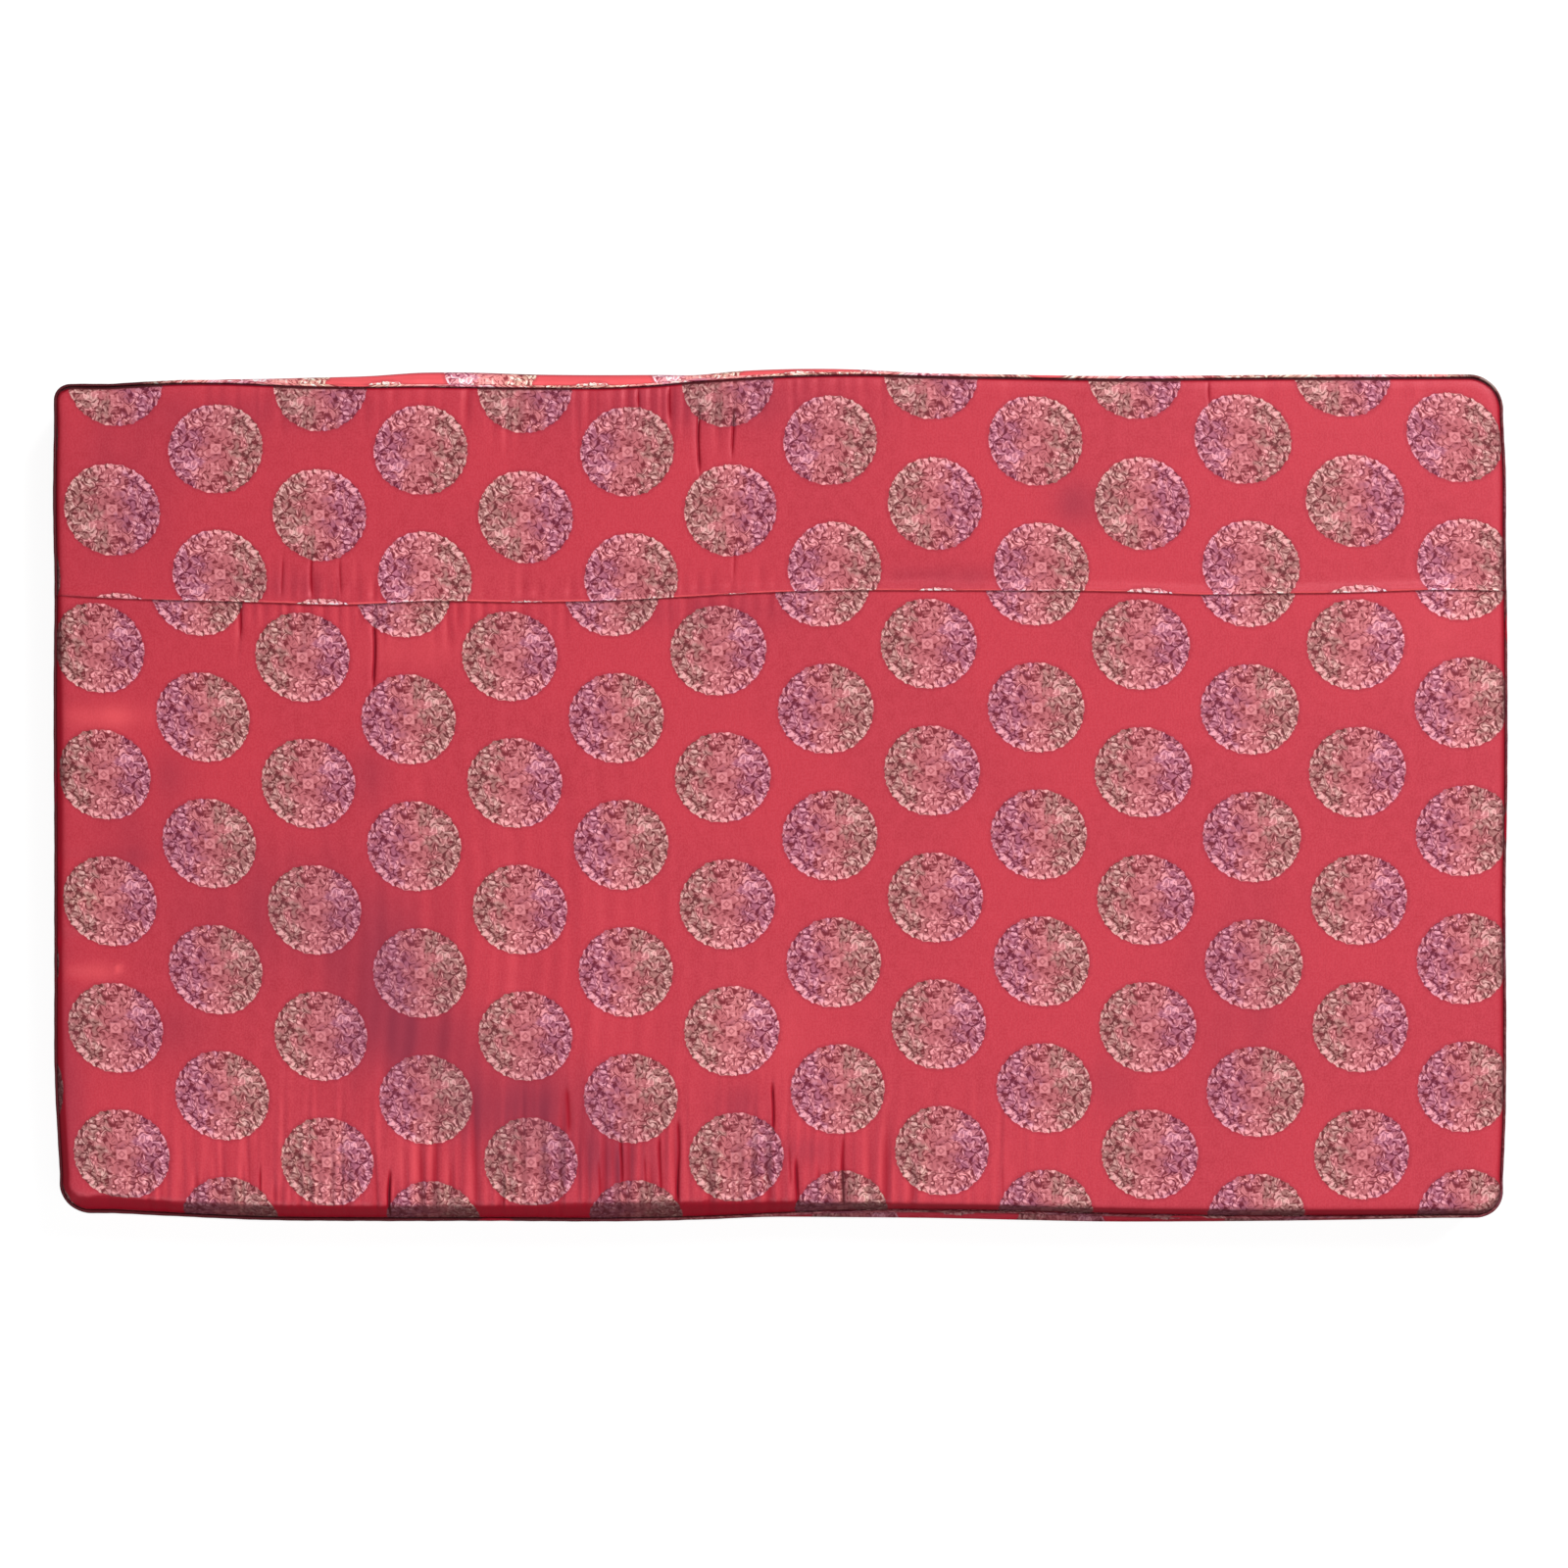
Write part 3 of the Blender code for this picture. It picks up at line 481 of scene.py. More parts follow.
def make_grid(columns, rows, has_front_rim):
    """Each grid point's place, its point on the outline, and its share of the way in. The rows
    near the lap run along it."""
    x, y = np.meshgrid(columns, rows)
    row, column = np.indices(x.shape)
    rest_y, rest_x = len(rows) - 1 - row, len(columns) - 1 - column
    from_x = np.maximum(RINGS - np.minimum(column, rest_x), 0)
    from_y = np.maximum(RINGS - (np.minimum(row, rest_y) if has_front_rim else rest_y), 0)
    most = np.maximum(from_x, from_y)
    side_x, side_y = (np.where(place > 0, 1, -1) for place in (x, y))
    near_lap = np.maximum(0, 1 - np.abs(y - LAP_LEVEL) / LAP_REACH)
    y = np.where(from_y > 0, y, y + (lap_y(x) - LAP_LEVEL) * near_lap)
    least = np.minimum(from_x, from_y) / np.maximum(most, 1)
    share = np.where(from_x == most, 0.5 * least, 1 - 0.5 * least)
    in_corner = (from_x > 0) & (from_y > 0)
    corner = corner_rim(side_x, side_y, share)
    end = Rim(side_x * HALF_LENGTH, y, side_x, 0)
    side = Rim(x, side_y * HALF_WIDTH, 0, side_y)
    rim = Rim(*(np.where(in_corner, at_corner, np.where(from_x > 0, at_end, at_side))
                for at_corner, at_end, at_side in zip(corner, end, side)))
    pole_x = np.where(from_x > 0, side_x * (HALF_LENGTH - CORNER), x)
    pole_y = np.where(from_y > 0, side_y * (HALF_WIDTH - CORNER), y)
    return Grid(x, y, rim, pole_x, pole_y, 1 - most / RINGS, most > 0)


def lay_panel(grid, sunk=0):
    """Plain place, shift by the uneven edges and drop of each grid point of a top panel."""
    x, y, rim, pole_x, pole_y, share, is_edge = grid
    start = edge_size(rim, WELT_IN) + PANEL_IN + SUNK_IN * sunk * (1 - share)
    full = np.maximum(np.hypot(rim.x - pole_x, rim.y - pole_y), 1)
    inset = start + (full - start) * share ** RING_GRADE
    x = np.where(is_edge, blend(rim.x, pole_x, inset / full), x)
    y = np.where(is_edge, blend(rim.y, pole_y, inset / full), y)
    inner = np.where(is_edge, share ** 3, 1)
    shift_x, shift_y = (blend(at_rim, at_pole, inner) for at_rim, at_pole in zip(
        warp_shift(rim.x, rim.y), warp_shift(pole_x, pole_y)))
    drop = np.where(is_edge, edge_drop(rim, inset, start), 0)
    return Laid(x, y, shift_x, shift_y, drop)


def cloth_place(columns, x, y):
    """Column and row of roundels at each place."""
    centre_x, centre_y, foot_x, foot_y = np.array(columns).T
    half_row = 0.5 if centre_y[1] > centre_y[0] else -0.5
    first = np.where(np.arange(len(columns)) % 2, half_row, 0)
    last = first - np.round((centre_y - foot_y) / PITCH_Y)
    x, y = x * TOP_NEARER, y * TOP_NEARER
    share = (y[..., None] - centre_y) / (foot_y - centre_y)
    lines_x = blend(centre_x, foot_x, share)
    lines_row = blend(first, last, share)
    across, along = np.zeros((2, *x.shape))
    for index in range(len(columns) - 1):
        left, right = lines_x[..., index], lines_x[..., index + 1]
        part = (x - left) / (right - left)
        inside = (part >= 0) | (index == 0)
        across = np.where(inside, index + 1 + part, across)
        along = np.where(inside, blend(lines_row[..., index], lines_row[..., index + 1], part),
                         along)
    return across, along


def light_and_stain_patches(x, y):
    """Strength of the patches of painted dull shade and painted highlight, and of the stain and
    the speck, broken into upright streaks.
    """
    painted_light_and_stain = np.zeros_like(x)
    for at_x, at_y, reach_x, reach_y, strength in LIGHT_AND_STAIN_PATCHES:
        far = ((x - at_x) / reach_x) ** 2 + ((y - at_y) / reach_y) ** 2
        painted_light_and_stain = painted_light_and_stain + strength * np.exp(-far)
    streaks = np.sin(x / 5.1 + 2 * np.sin(y / 70)) + np.sin(x / 8.7 + y / 160 + 1)
    return np.clip(painted_light_and_stain * (0.9 + 0.13 * streaks), -1, 1)


def painted_tilt_light(panel, x, y):
    """Painted light from the tilt of the gathers and waves: shade facing left, highlight facing
    right.
    """
    right, left = (wave_height(at, y) - gather_depth(panel.gathers, at, y)
                   for at in (x + TILT_STEP, x - TILT_STEP))
    return np.clip(TILT_LIGHT_GAIN * ((right - left) / (2 * TILT_STEP)), *TILT_LIMITS)


def top_shade(panel, x, y):
    """Shade in the folds and gathers, from 0 to 1."""
    shade = FOLD_SHADE * fold_depth(panel.folds, x, y)
    return np.clip(shade + GATHER_SHADE * gather_depth(panel.gathers, x, y), 0, 1)


def grid_faces(rows, columns, start=0):
    """Quads of a grid of points, facing up."""
    row, column = np.meshgrid(np.arange(rows - 1), np.arange(columns - 1), indexing="ij")
    corner = (start + row * columns + column).ravel()
    return np.stack([corner, corner + 1, corner + columns + 1, corner + columns], axis=1)


def band_faces(rings, count, start=0, is_tube=False):
    """Quads of closed rings of points, listed downwards, facing outwards."""
    ring, place = np.meshgrid(np.arange(rings - 1 + is_tube), np.arange(count), indexing="ij")
    after = (place + 1) % count
    above, below = start + ring * count, start + (ring + 1) % rings * count
    return np.stack([below + place, below + after, above + after, above + place],
                    axis=-1).reshape(-1, 4)


def add_object(name, data):
    item = bpy.data.objects.new(name, data)
    bpy.context.scene.collection.objects.link(item)
    return item


def add_piece(name, places, faces, marks, material, node):
    """An object from points in millimetres that stands for a CAD node. Its marks at every point
    are the column and the row of roundels, the painted light with the stain, and the painted
    shade."""
    mesh = bpy.data.meshes.new(name)
    mesh.from_pydata((places.reshape(-1, 3) * MM).tolist(), [], faces)
    mesh.shade_smooth()
    across, along, painted_light_and_stain, shade = (
        np.broadcast_to(mark, places.shape[:-1]).astype(np.float32).ravel() for mark in marks)
    corners = np.empty(len(mesh.loops), np.int32)
    mesh.loops.foreach_get("vertex_index", corners)
    places = np.stack([across, along], axis=-1)[corners]
    mesh.uv_layers.new(name="cloth").data.foreach_set("uv", places.ravel())
    for tone, values in (("painted_light_and_stain", painted_light_and_stain), ("shade", shade)):
        mesh.attributes.new(tone, "FLOAT", "POINT").data.foreach_set("value", values)
    mesh.materials.append(material)
    item = add_object(name, mesh)
    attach(item, "root")
    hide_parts(node)
    return item


def add_thickness(item):
    """Cloth thickness under an open face, which keeps its place."""
    solid = item.modifiers.new("thickness", "SOLIDIFY")
    solid.thickness = CLOTH * MM
    solid.offset = -1


def back_roll(rim):
    """How far the boxing rolls over the shoulder, from 0 (upright) to 1."""
    return smooth((edge_size(rim, WELT_IN) - ROLL_FROM) / ROLL_RANGE)


def boxing_section(rim):
    """Insets and heights of the boxing's face from the welt down to the bottom seam."""
    roll = back_roll(rim)
    angle = blend(UPRIGHT_START, ROLLED_START, roll)
    reach = blend(WELT_RADIUS + START_GAP, WELT_OUT + ROLLED_WELT_FACE + START_GAP, roll)
    top_in = edge_size(rim, WELT_IN) - reach * np.cos(angle)
    top_z = edge_size(rim, SEAM_Z) - reach * np.sin(angle)
    full_z = blend(FULL_Z, ROLLED_FULL_Z, roll)
    turn_in = blend(SIDE_INSET, top_in, 1 - math.sin(SHOULDER_ANGLE))
    turn_z = blend(full_z, top_z, math.cos(SHOULDER_ANGLE))
    insets = (top_in, turn_in, SIDE_INSET, LOWER_INSET, BOTTOM_SEAM_INSET)
    heights = (top_z, turn_z, full_z, LOWER_Z, BOTTOM_SEAM_Z)
    return tuple(np.array(np.broadcast_arrays(*sizes)) for sizes in (insets, heights))


def inner_section(insets, heights, depth):
    """The same section moved inwards, square to its face at every point."""
    run_in, run_z = (np.gradient(sizes, axis=0) for sizes in (insets, heights))
    length = np.hypot(run_in, run_z)
    return insets - run_z / length * depth, heights + run_in / length * depth


def resample(points, count):
    """Smooth curve through rows of points, cut into a count of even shares."""
    last = len(points) - 1
    padded = np.concatenate([[2 * points[0] - points[1]], points, [2 * points[-1] - points[-2]]])
    made = []
    for place in np.linspace(0, last, count):
        index = min(int(place), last - 1)
        share = place - index
        before, start, end, after = padded[index:index + 4]
        leave = 0.5 * (end - before) * share * (1 - share) ** 2
        arrive = 0.5 * (after - start) * share ** 2 * (share - 1)
        made.append(blend(start, end, smooth(share)) + leave + arrive)
    return np.array(made)


def top_face(panel, grid, laid, raised, ease=1, drawn=0, slip=0):
    """Points of a top panel with all its relief, and the columns and rows of roundels there,
    moved on by the cloth that the slope takes where it bends down."""
    x, y, shift_x, shift_y, drop = laid
    dents = fold_depth(panel.folds, x, y) + gather_depth(panel.gathers, x, y)
    relief = wave_height(x, y) - dents - pucker_depth(x, y) - line_depth(x, y)
    height = SHOULDER_Z + crown_height(x, y) - drop + raised
    height += relief * smooth(4 * grid.share + 0.1) * ease
    across, along = cloth_place(panel.columns, x + shift_x - drawn, y + shift_y + slip)
    taken = np.where(grid.is_edge, SLOPE_CLOTH * drop, 0)
    return (np.stack([x + shift_x, y + shift_y, height], axis=-1),
            across + grid.rim.out_x * taken / PITCH_X, along + grid.rim.out_y * taken / PITCH_Y)


def make_pad(material):
    """The filled pad: the front panel, the part under the back panel, the sides and the base."""
    inner = HALF_WIDTH - CORNER
    rows = edge_rows(-1)[:-1] + spread(-inner, LAP_LEVEL + LAP_ROWS[0], ROW_STEP)
    rows += [LAP_LEVEL + place for place in LAP_ROWS]
    rows += spread(LAP_LEVEL + HIDDEN_FROM, inner, HIDDEN_STEP) + edge_rows(1)[::-1]
    grid = make_grid(grid_columns(), np.array(rows), has_front_rim=True)
    behind_lap = grid.y - lap_y(grid.x)
    sunk = smooth((behind_lap - SINK_START) / SINK_RUN)
    laid = lay_panel(grid, sunk)
    x, y = laid.x, laid.y
    top, across, along = top_face(FRONT, grid, laid, -sunk * SUNK_DOWN)
    # Painted dull shade and highlight patches with the stain, and painted light from the tilt
    painted_light_and_stain = light_and_stain_patches(x, y) + painted_tilt_light(FRONT, x, y)
    # Painted shade in the folds and gathers, in the shadow under the lip's nose, and on the edges
    # that turn down at the front and the ends
    folds = top_shade(FRONT, x, y) * (1 - sunk)
    under_lip = LAP_SHADE * np.exp(-((behind_lap + 0.9) / 1.1) ** 2)
    turned = smooth(laid.drop / 2) * np.maximum(-grid.rim.out_y, np.abs(grid.rim.out_x))
    shade = np.maximum.reduce([folds, under_lip, TURNED_SHADE * turned])

    index = np.arange(x.size).reshape(x.shape)
    loop = np.concatenate([index[0, :-1], index[:-1, -1], index[-1, :0:-1], index[:0:-1, 0]])
    rim = Rim(*(part.ravel()[loop] for part in grid.rim))
    insets, heights = inner_section(*boxing_section(rim), CLOTH + WALL_GAP)
    insets = (edge_size(rim, WELT_IN) + 1.4, *insets[:3], insets[4],
              BOTTOM_SEAM_INSET + 0.6, BOTTOM_SEAM_INSET + 2.2, BASE_INSET)
    heights = (edge_size(rim, SEAM_Z) - 3, *heights[:3], heights[4],
               BOTTOM_SEAM_Z - 1.2, 1.2, 0)
    side = np.concatenate([rim_place(rim, *ring) for ring in zip(insets, heights)])

    count, end = len(loop), x.size + len(side)
    ring = x.size + np.arange(count)
    first = np.stack([ring, np.roll(ring, -1), np.roll(loop, -1), loop], axis=1)
    base = list(range(end - 1, end - count - 1, -1))
    faces = np.concatenate([grid_faces(*x.shape), first, band_faces(len(insets), count, x.size)])
    side_marks = (side[:, 0] / PITCH_X, side[:, 1] / PITCH_Y, *np.zeros((2, len(side))))
    marks = [np.append(*pair) for pair in zip((across, along, painted_light_and_stain, shade), side_marks)]
    places = np.concatenate([top.reshape(-1, 3), side])
    pad = add_piece("cushion_pad", places, faces.tolist() + [base], marks, material,
                    "seat_pad")


def make_back_panel(material):
    """The back panel: a thin sheet from its folded lip to the back seam."""
    behind, lift, run, painted_shine = np.array(LIP).T
    flat = spread(LAP_LEVEL + behind[-1] + ROW_STEP, HALF_WIDTH - CORNER, ROW_STEP)
    flat += edge_rows(1)[::-1]
    lift, slip, painted_shine = (np.append(sizes, np.zeros(len(flat)))[:, None]
                         for sizes in (lift, run - behind, painted_shine))
    grid = make_grid(grid_columns(), np.append(LAP_LEVEL + behind, flat), has_front_rim=False)
    laid = lay_panel(grid)
    x, y, drop, rim = laid.x, laid.y, laid.drop, grid.rim
    lift = lift * np.where(grid.is_edge, 0.25 + 0.75 * smooth(1.4 * grid.share), 1)
    calm = smooth((y - lap_y(x)) / 9 + 0.15)
    drawn = lookup(BACK_DRAWN, x) * smooth((y - DRAWN_FROM) / DRAWN_RUN)
    places, across, along = top_face(BACK, grid, laid, lift, calm, drawn, slip)
    # Painted highlight on the lip's fold, fading out at the left end; with it the painted dull
    # shade and highlight patches, the stain, and painted light from the tilt
    lip_highlight = painted_shine * smooth((x + 560) / 120)
    painted_light_and_stain = light_and_stain_patches(x, y) + painted_tilt_light(BACK, x, y) * calm - LIP_HIGHLIGHT * lip_highlight
    # Painted shade in the folds and gathers, on the ends and the back right corner where the edge
    # turns down, and in the groove at the back seam
    folds = top_shade(BACK, x, y) * calm
    turned = smooth(drop / 2) * np.abs(rim.out_x)
    turned += CORNER_SHADE * drop * np.clip(2.4 * rim.out_x * rim.out_y, 0, 1)
    groove = smooth((drop - BACK_GROOVE_DROP) / 1.6) * np.clip(rim.out_y, 0, 1)
    shade = np.maximum.reduce([folds, TURNED_SHADE * turned, groove])
    marks = (across, along, np.clip(painted_light_and_stain, -1, 1), shade)
    panel = add_piece("back_panel_cloth", places, grid_faces(*x.shape).tolist(), marks, material,
                      "back_panel")
    add_thickness(panel)


def rim_loop(step):
    """Points of the outline in order, counter-clockwise seen from above."""
    x, y = (np.array(spread(CORNER - half, half - CORNER, step))
            for half in (HALF_LENGTH, HALF_WIDTH))
    turn = np.linspace(0, 1, CORNER_POINTS, endpoint=False)
    edges = ((x, -HALF_WIDTH, 0, -1), (HALF_LENGTH, y, 1, 0),
             (-x, HALF_WIDTH, 0, 1), (-HALF_LENGTH, -y, -1, 0))
    corners = ((1, -1, 1 - turn), (1, 1, turn), (-1, 1, 1 - turn), (-1, -1, turn))
    parts = (part for edge, corner in zip(edges, corners)
             for part in (np.broadcast_arrays(*edge), corner_rim(*corner)))
    return Rim(*(np.concatenate(values) for values in zip(*parts)))


def run_length(places):
    """Distance along each line of points, from its first one."""
    steps = np.linalg.norm(np.diff(places, axis=0), axis=-1)
    return np.concatenate([0 * steps[:1], np.cumsum(steps, axis=0)])


def make_boxing(material):
    """The boxing: one band of cloth round the four sides, rolled over the back shoulder."""
    rim = rim_loop(RIM_STEP)
    insets, heights = (resample(sizes, BOXING_RINGS) for sizes in boxing_section(rim))
    ring = np.arange(BOXING_RINGS)[:, None]
    share = np.clip((rim.x - FOLD_FROM) / (FOLD_TO - FOLD_FROM), 0, 1)
    fold = (FOLD_DEPTH * np.sin(math.pi * share) * (rim.out_y > 0.5)
            * np.exp(-((ring - FOLD_RING) / FOLD_RINGS_WIDE) ** 2))
    away = run_length(rim_place(rim, 0, 0))
    puckers = np.sin(away / 4.9) + np.sin(away / 3.1 + 2) + np.sin(away / 11.3)
    seam_side = np.minimum(ring, BOXING_RINGS - 1 - ring) / 6
    crumple = CRUMPLE_DEPTH * puckers * np.exp(-seam_side ** 2) * smooth(seam_side * 6)
    section = inner_section(insets, heights, fold + crumple)
    places = np.stack([rim_place(rim, *ring) for ring in zip(*section)])
    down = run_length(places)
    marked = np.argmin(np.abs(rim.x - BOXING_ROUNDEL_X) + 1e3 * (rim.out_y < 0.5))
    across = 1 + (away - away[marked]) / PITCH_X
    along = (BOXING_ROUNDEL_DEPTH - down) / PITCH_Y
    # Painted highlight where the boxing rolls over the back shoulder, fading down from the welt
    painted_roll_highlight = smooth(1.6 - down / 10) * smooth(2.5 * back_roll(rim)) * (rim.out_y > 0.5)
    # Painted shade below the welt on the front and the ends, fading down the side
    shade = (0.1 + 0.28 * smooth((24 - down) / 12)) * (rim.out_y < 0.5)
    band = add_piece("boxing_cloth", places, band_faces(BOXING_RINGS, len(away)).tolist(),
                     (across, along, 0 - painted_roll_highlight, shade), material, "boxing")
    add_thickness(band)


def make_welt(material):
    """The welt: a thin cord under a bias strip of the same cloth."""
    rim = rim_loop(RIM_STEP * 0.6)
    centre = rim_place(rim, edge_size(rim, WELT_IN) - WELT_OUT, edge_size(rim, SEAM_Z))
    away = run_length(centre)
    angle = np.linspace(0, -TURN, WELT_SIDES, endpoint=False)[:, None]
    lumps = 0.05 * np.sin(away / 6.1) + 0.04 * np.sin(away / 2.7 + 1)
    radius = blend(WELT_FACE, ROLLED_WELT_FACE, back_roll(rim)) * (1 + lumps)
    outwards = np.cos(angle) * radius
    upwards = np.sin(angle) * radius + 0.15 * np.sin(away / 17)
    places = np.stack([centre[:, 0] + rim.out_x * outwards, centre[:, 1] + rim.out_y * outwards,
                       centre[:, 2] + upwards], axis=-1)
    round_it = angle * WELT_FACE
    across = 1 + 0.3 * np.sin(away / 30) + round_it / PITCH_X
    along = 0.22 * np.sin(away / 23) - round_it / PITCH_Y
    # Painted highlight along the back of the welt, duller and more purple elsewhere; painted
    # shade on the ends and along the edges from the shade tables
    painted_light_and_stain = np.where(rim.out_y > 0.5, -1, 0.3 * (rim.out_y < 0.5))
    sides = np.where(rim.out_x < 0, *SIDE_SHADES) * smooth(2.2 * np.abs(rim.out_x))
    edges = np.where(rim.out_y > 0, lookup(BACK_SHADE, rim.x), lookup(FRONT_SHADE, rim.x))
    shade = np.maximum(sides, edges * rim.out_y ** 2)
    add_piece("welt_cloth", places, band_faces(WELT_SIDES, len(away), is_tube=True).tolist(),
              (across, along, painted_light_and_stain, shade), material, "top_welt")


# The roundels: how close the pebbles lie, the squares round the rim, and the colours from dark
# to light, each as pink, grey-green and purple
PEBBLE_SCALE = 6.2
RIM_SQUARES = 34
THREADS = (
    ((122, 39, 48), (100, 42, 44), (102, 26, 50)),
    ((196, 108, 115), (170, 114, 111), (174, 98, 121)),
    ((252, 170, 176), (233, 180, 176), (238, 166, 184)),
)


class Nodes:
    """Short calls that add shader nodes and link them."""

    def __init__(self, tree):
        self.tree = tree

    def node(self, kind, inputs=(), **settings):
        """A node with its settings, and its inputs by number or name: a socket or a value."""
        node = self.tree.nodes.new("ShaderNode" + kind)
        for name, value in settings.items():
            setattr(node, name, value)
        self.feed(node, inputs)
        return node

    def feed(self, node, inputs):
        for key, value in dict(inputs).items():
            if isinstance(value, bpy.types.NodeSocket):
                self.tree.links.new(value, node.inputs[key])
            else:
                node.inputs[key].default_value = value

    def math(self, operation, *values):
        return self.node("Math", enumerate(values), operation=operation).outputs[0]

    times = partialmethod(math, "MULTIPLY")
    minus = partialmethod(math, "SUBTRACT")
    scaled = partialmethod(math, "MULTIPLY_ADD")

    def vector(self, operation, *values):
        node = self.node("VectorMath", enumerate(values), operation=operation)
        return node.outputs["Value" if operation == "LENGTH" else "Vector"]

    def sized(self, vector, size):
        inputs = {0: vector, "Scale": size}
        return self.node("VectorMath", inputs, operation="SCALE").outputs[0]

    def split(self, vector):
        return self.node("SeparateXYZ", {0: vector}).outputs[:]

    def ramp(self, value, start, end, low=0, high=1):
        """Soft step: low at the start, high at the end."""
        names = ("Value", "From Min", "From Max", "To Min", "To Max")
        return self.node("MapRange", zip(names, (value, start, end, low, high)),
                         interpolation_type="SMOOTHSTEP").outputs[0]

    def line(self, value, centre, core, fade):
        """One where a value is near the centre, fading out on both sides."""
        return self.ramp(self.math("ABSOLUTE", self.minus(value, centre)), core, fade, 1, 0)

    def mix(self, share, first, second, kind="MIX"):
        return self.node("Mix", {0: share, 6: first, 7: second}, data_type="RGBA",
                         blend_type=kind, clamp_result=True).outputs[2]

    def noise(self, vector, scale, detail=2, roughness=0.5, output=0):
        inputs = {"Vector": vector, "Scale": scale, "Detail": detail, "Roughness": roughness}
        return self.node("TexNoise", inputs, noise_dimensions="2D").outputs[output]

    def wander(self, vector, scale, detail):
        """Noise vectors round nought."""
        noise = self.noise(vector, scale, detail, output=1)
        return self.vector("SUBTRACT", noise, (0.5, 0.5, 0.5))

    def cells(self, vector, scale, feature="F1", randomness=1):
        inputs = {"Vector": vector, "Scale": scale, "Randomness": randomness}
        return self.node("TexVoronoi", inputs, feature=feature,
                         voronoi_dimensions="2D").outputs


def shown(red, green, blue):
    """Linear colour from the 0 to 255 values that a screen shows."""
    return (*(value / 255 / 12.92 if value <= 10 else ((value / 255 + 0.055) / 1.055) ** 2.4
              for value in (red, green, blue)), 1)


def roundel_place(n, cloth, turned):
    """Place inside the nearest roundel, from -1 to 1, and whether its column is an odd one."""
    across, along, _ = n.split(cloth)
    column = n.math("ROUND", across)
    odd = n.math("FLOORED_MODULO", column, 2)
    shifted = n.scaled(n.minus(1, odd), 0.5, along)
    sign = -1 if turned else 1
    x = n.times(n.minus(across, column), sign / ROUNDEL_X)
    y = n.times(n.minus(shifted, n.math("ROUND", shifted)), sign / ROUNDEL_Y)
    return x, y, odd


def draw_pebbles(n, place, bent, busy):
    """Tone of a mosaic of small curled shapes, parted here and there by dark dashes."""
    cell = n.cells(bent, PEBBLE_SCALE, randomness=0.95)
    joints = n.cells(bent, PEBBLE_SCALE, "DISTANCE_TO_EDGE", randomness=0.95)
    patchy = n.ramp(n.noise(place, 8.5, 0), 0.36, 0.56)
    joint = n.times(n.ramp(joints["Distance"], 0.02, 0.2, 1, 0), patchy)
    lucky = n.split(cell["Color"])[0]
    offset = n.vector("SUBTRACT", n.sized(bent, PEBBLE_SCALE),
                      n.sized(cell["Position"], PEBBLE_SCALE))
    off_x, off_y, _ = n.split(offset)
    turn = n.math("DIVIDE", n.math("ARCTAN2", off_y, off_x), TURN)
    turn = n.scaled(lucky, 5, turn)
    turn = n.scaled(n.vector("LENGTH", offset), 1.5, turn)
    scroll = n.line(n.math("FRACT", turn), 0.5, 0.12, 0.28)
    tone = n.scaled(lucky, 0.34, n.scaled(busy, 0.13, 0.42))
    joint = n.times(joint, n.scaled(busy, 0.22, 0.32))
    scroll = n.times(scroll, n.scaled(busy, 0.16, 0.14))
    return n.minus(n.minus(tone, joint), scroll)


def draw_strokes(n, bent, x, busy):
    """Tone of curling strokes and of light and dark flecks."""
    swirl = n.math("FRACT", n.times(n.noise(bent, 3.4, 0.5), 7))
    side = n.ramp(n.math("ABSOLUTE", x), 0.2, 0.7, 0.5, 1)
    stroke = n.times(n.times(n.line(swirl, 0.5, 0.04, 0.24), side), n.scaled(busy, 0.16, 0.16))
    flecks = n.cells(bent, 10.5)
    round_it = n.ramp(flecks["Distance"], 0.2, 0.55, 1, 0)
    light, dark = (
        n.times(n.times(n.math("GREATER_THAN", chance, least), round_it), n.scaled(busy, *depth))
        for chance, least, depth in zip(n.split(flecks["Color"]), (0.7, 0.8),
                                        ((0.28, 0.08), (0.24, 0.12))))
    return n.minus(n.minus(light, dark), stroke)


def draw_rim(n, x, y, radius):
    """Tone of the rim's pale squares, strongest at the foot, and of the gaps between them."""
    turn = n.times(n.math("ARCTAN2", y, x), RIM_SQUARES / TURN)
    bead = n.line(n.math("FRACT", turn), 0.5, 0.3, 0.46)
    rim = n.times(n.ramp(radius, 0.83, 0.89), n.ramp(y, 0.2, -0.8, 0.25, 1))
    return n.times(n.scaled(bead, 0.46, -0.18), rim)


def draw_centre(n, x, y, tone):
    """The small square in the middle, with a lozenge in it and a dark border."""
    off_x, off_y = n.math("ABSOLUTE", x), n.math("ABSOLUTE", y)
    square = n.math("MAXIMUM", off_x, off_y)
    ring = n.line(n.math("ADD", off_x, off_y), 0.065, 0.012, 0.03)
    inside = n.ramp(square, 0.105, 0.125, 1, 0)
    border = n.line(square, 0.135, 0.01, 0.04)
    tone = n.scaled(n.minus(n.scaled(ring, -0.28, 0.72), tone), inside, tone)
    return n.scaled(border, -0.16, tone)


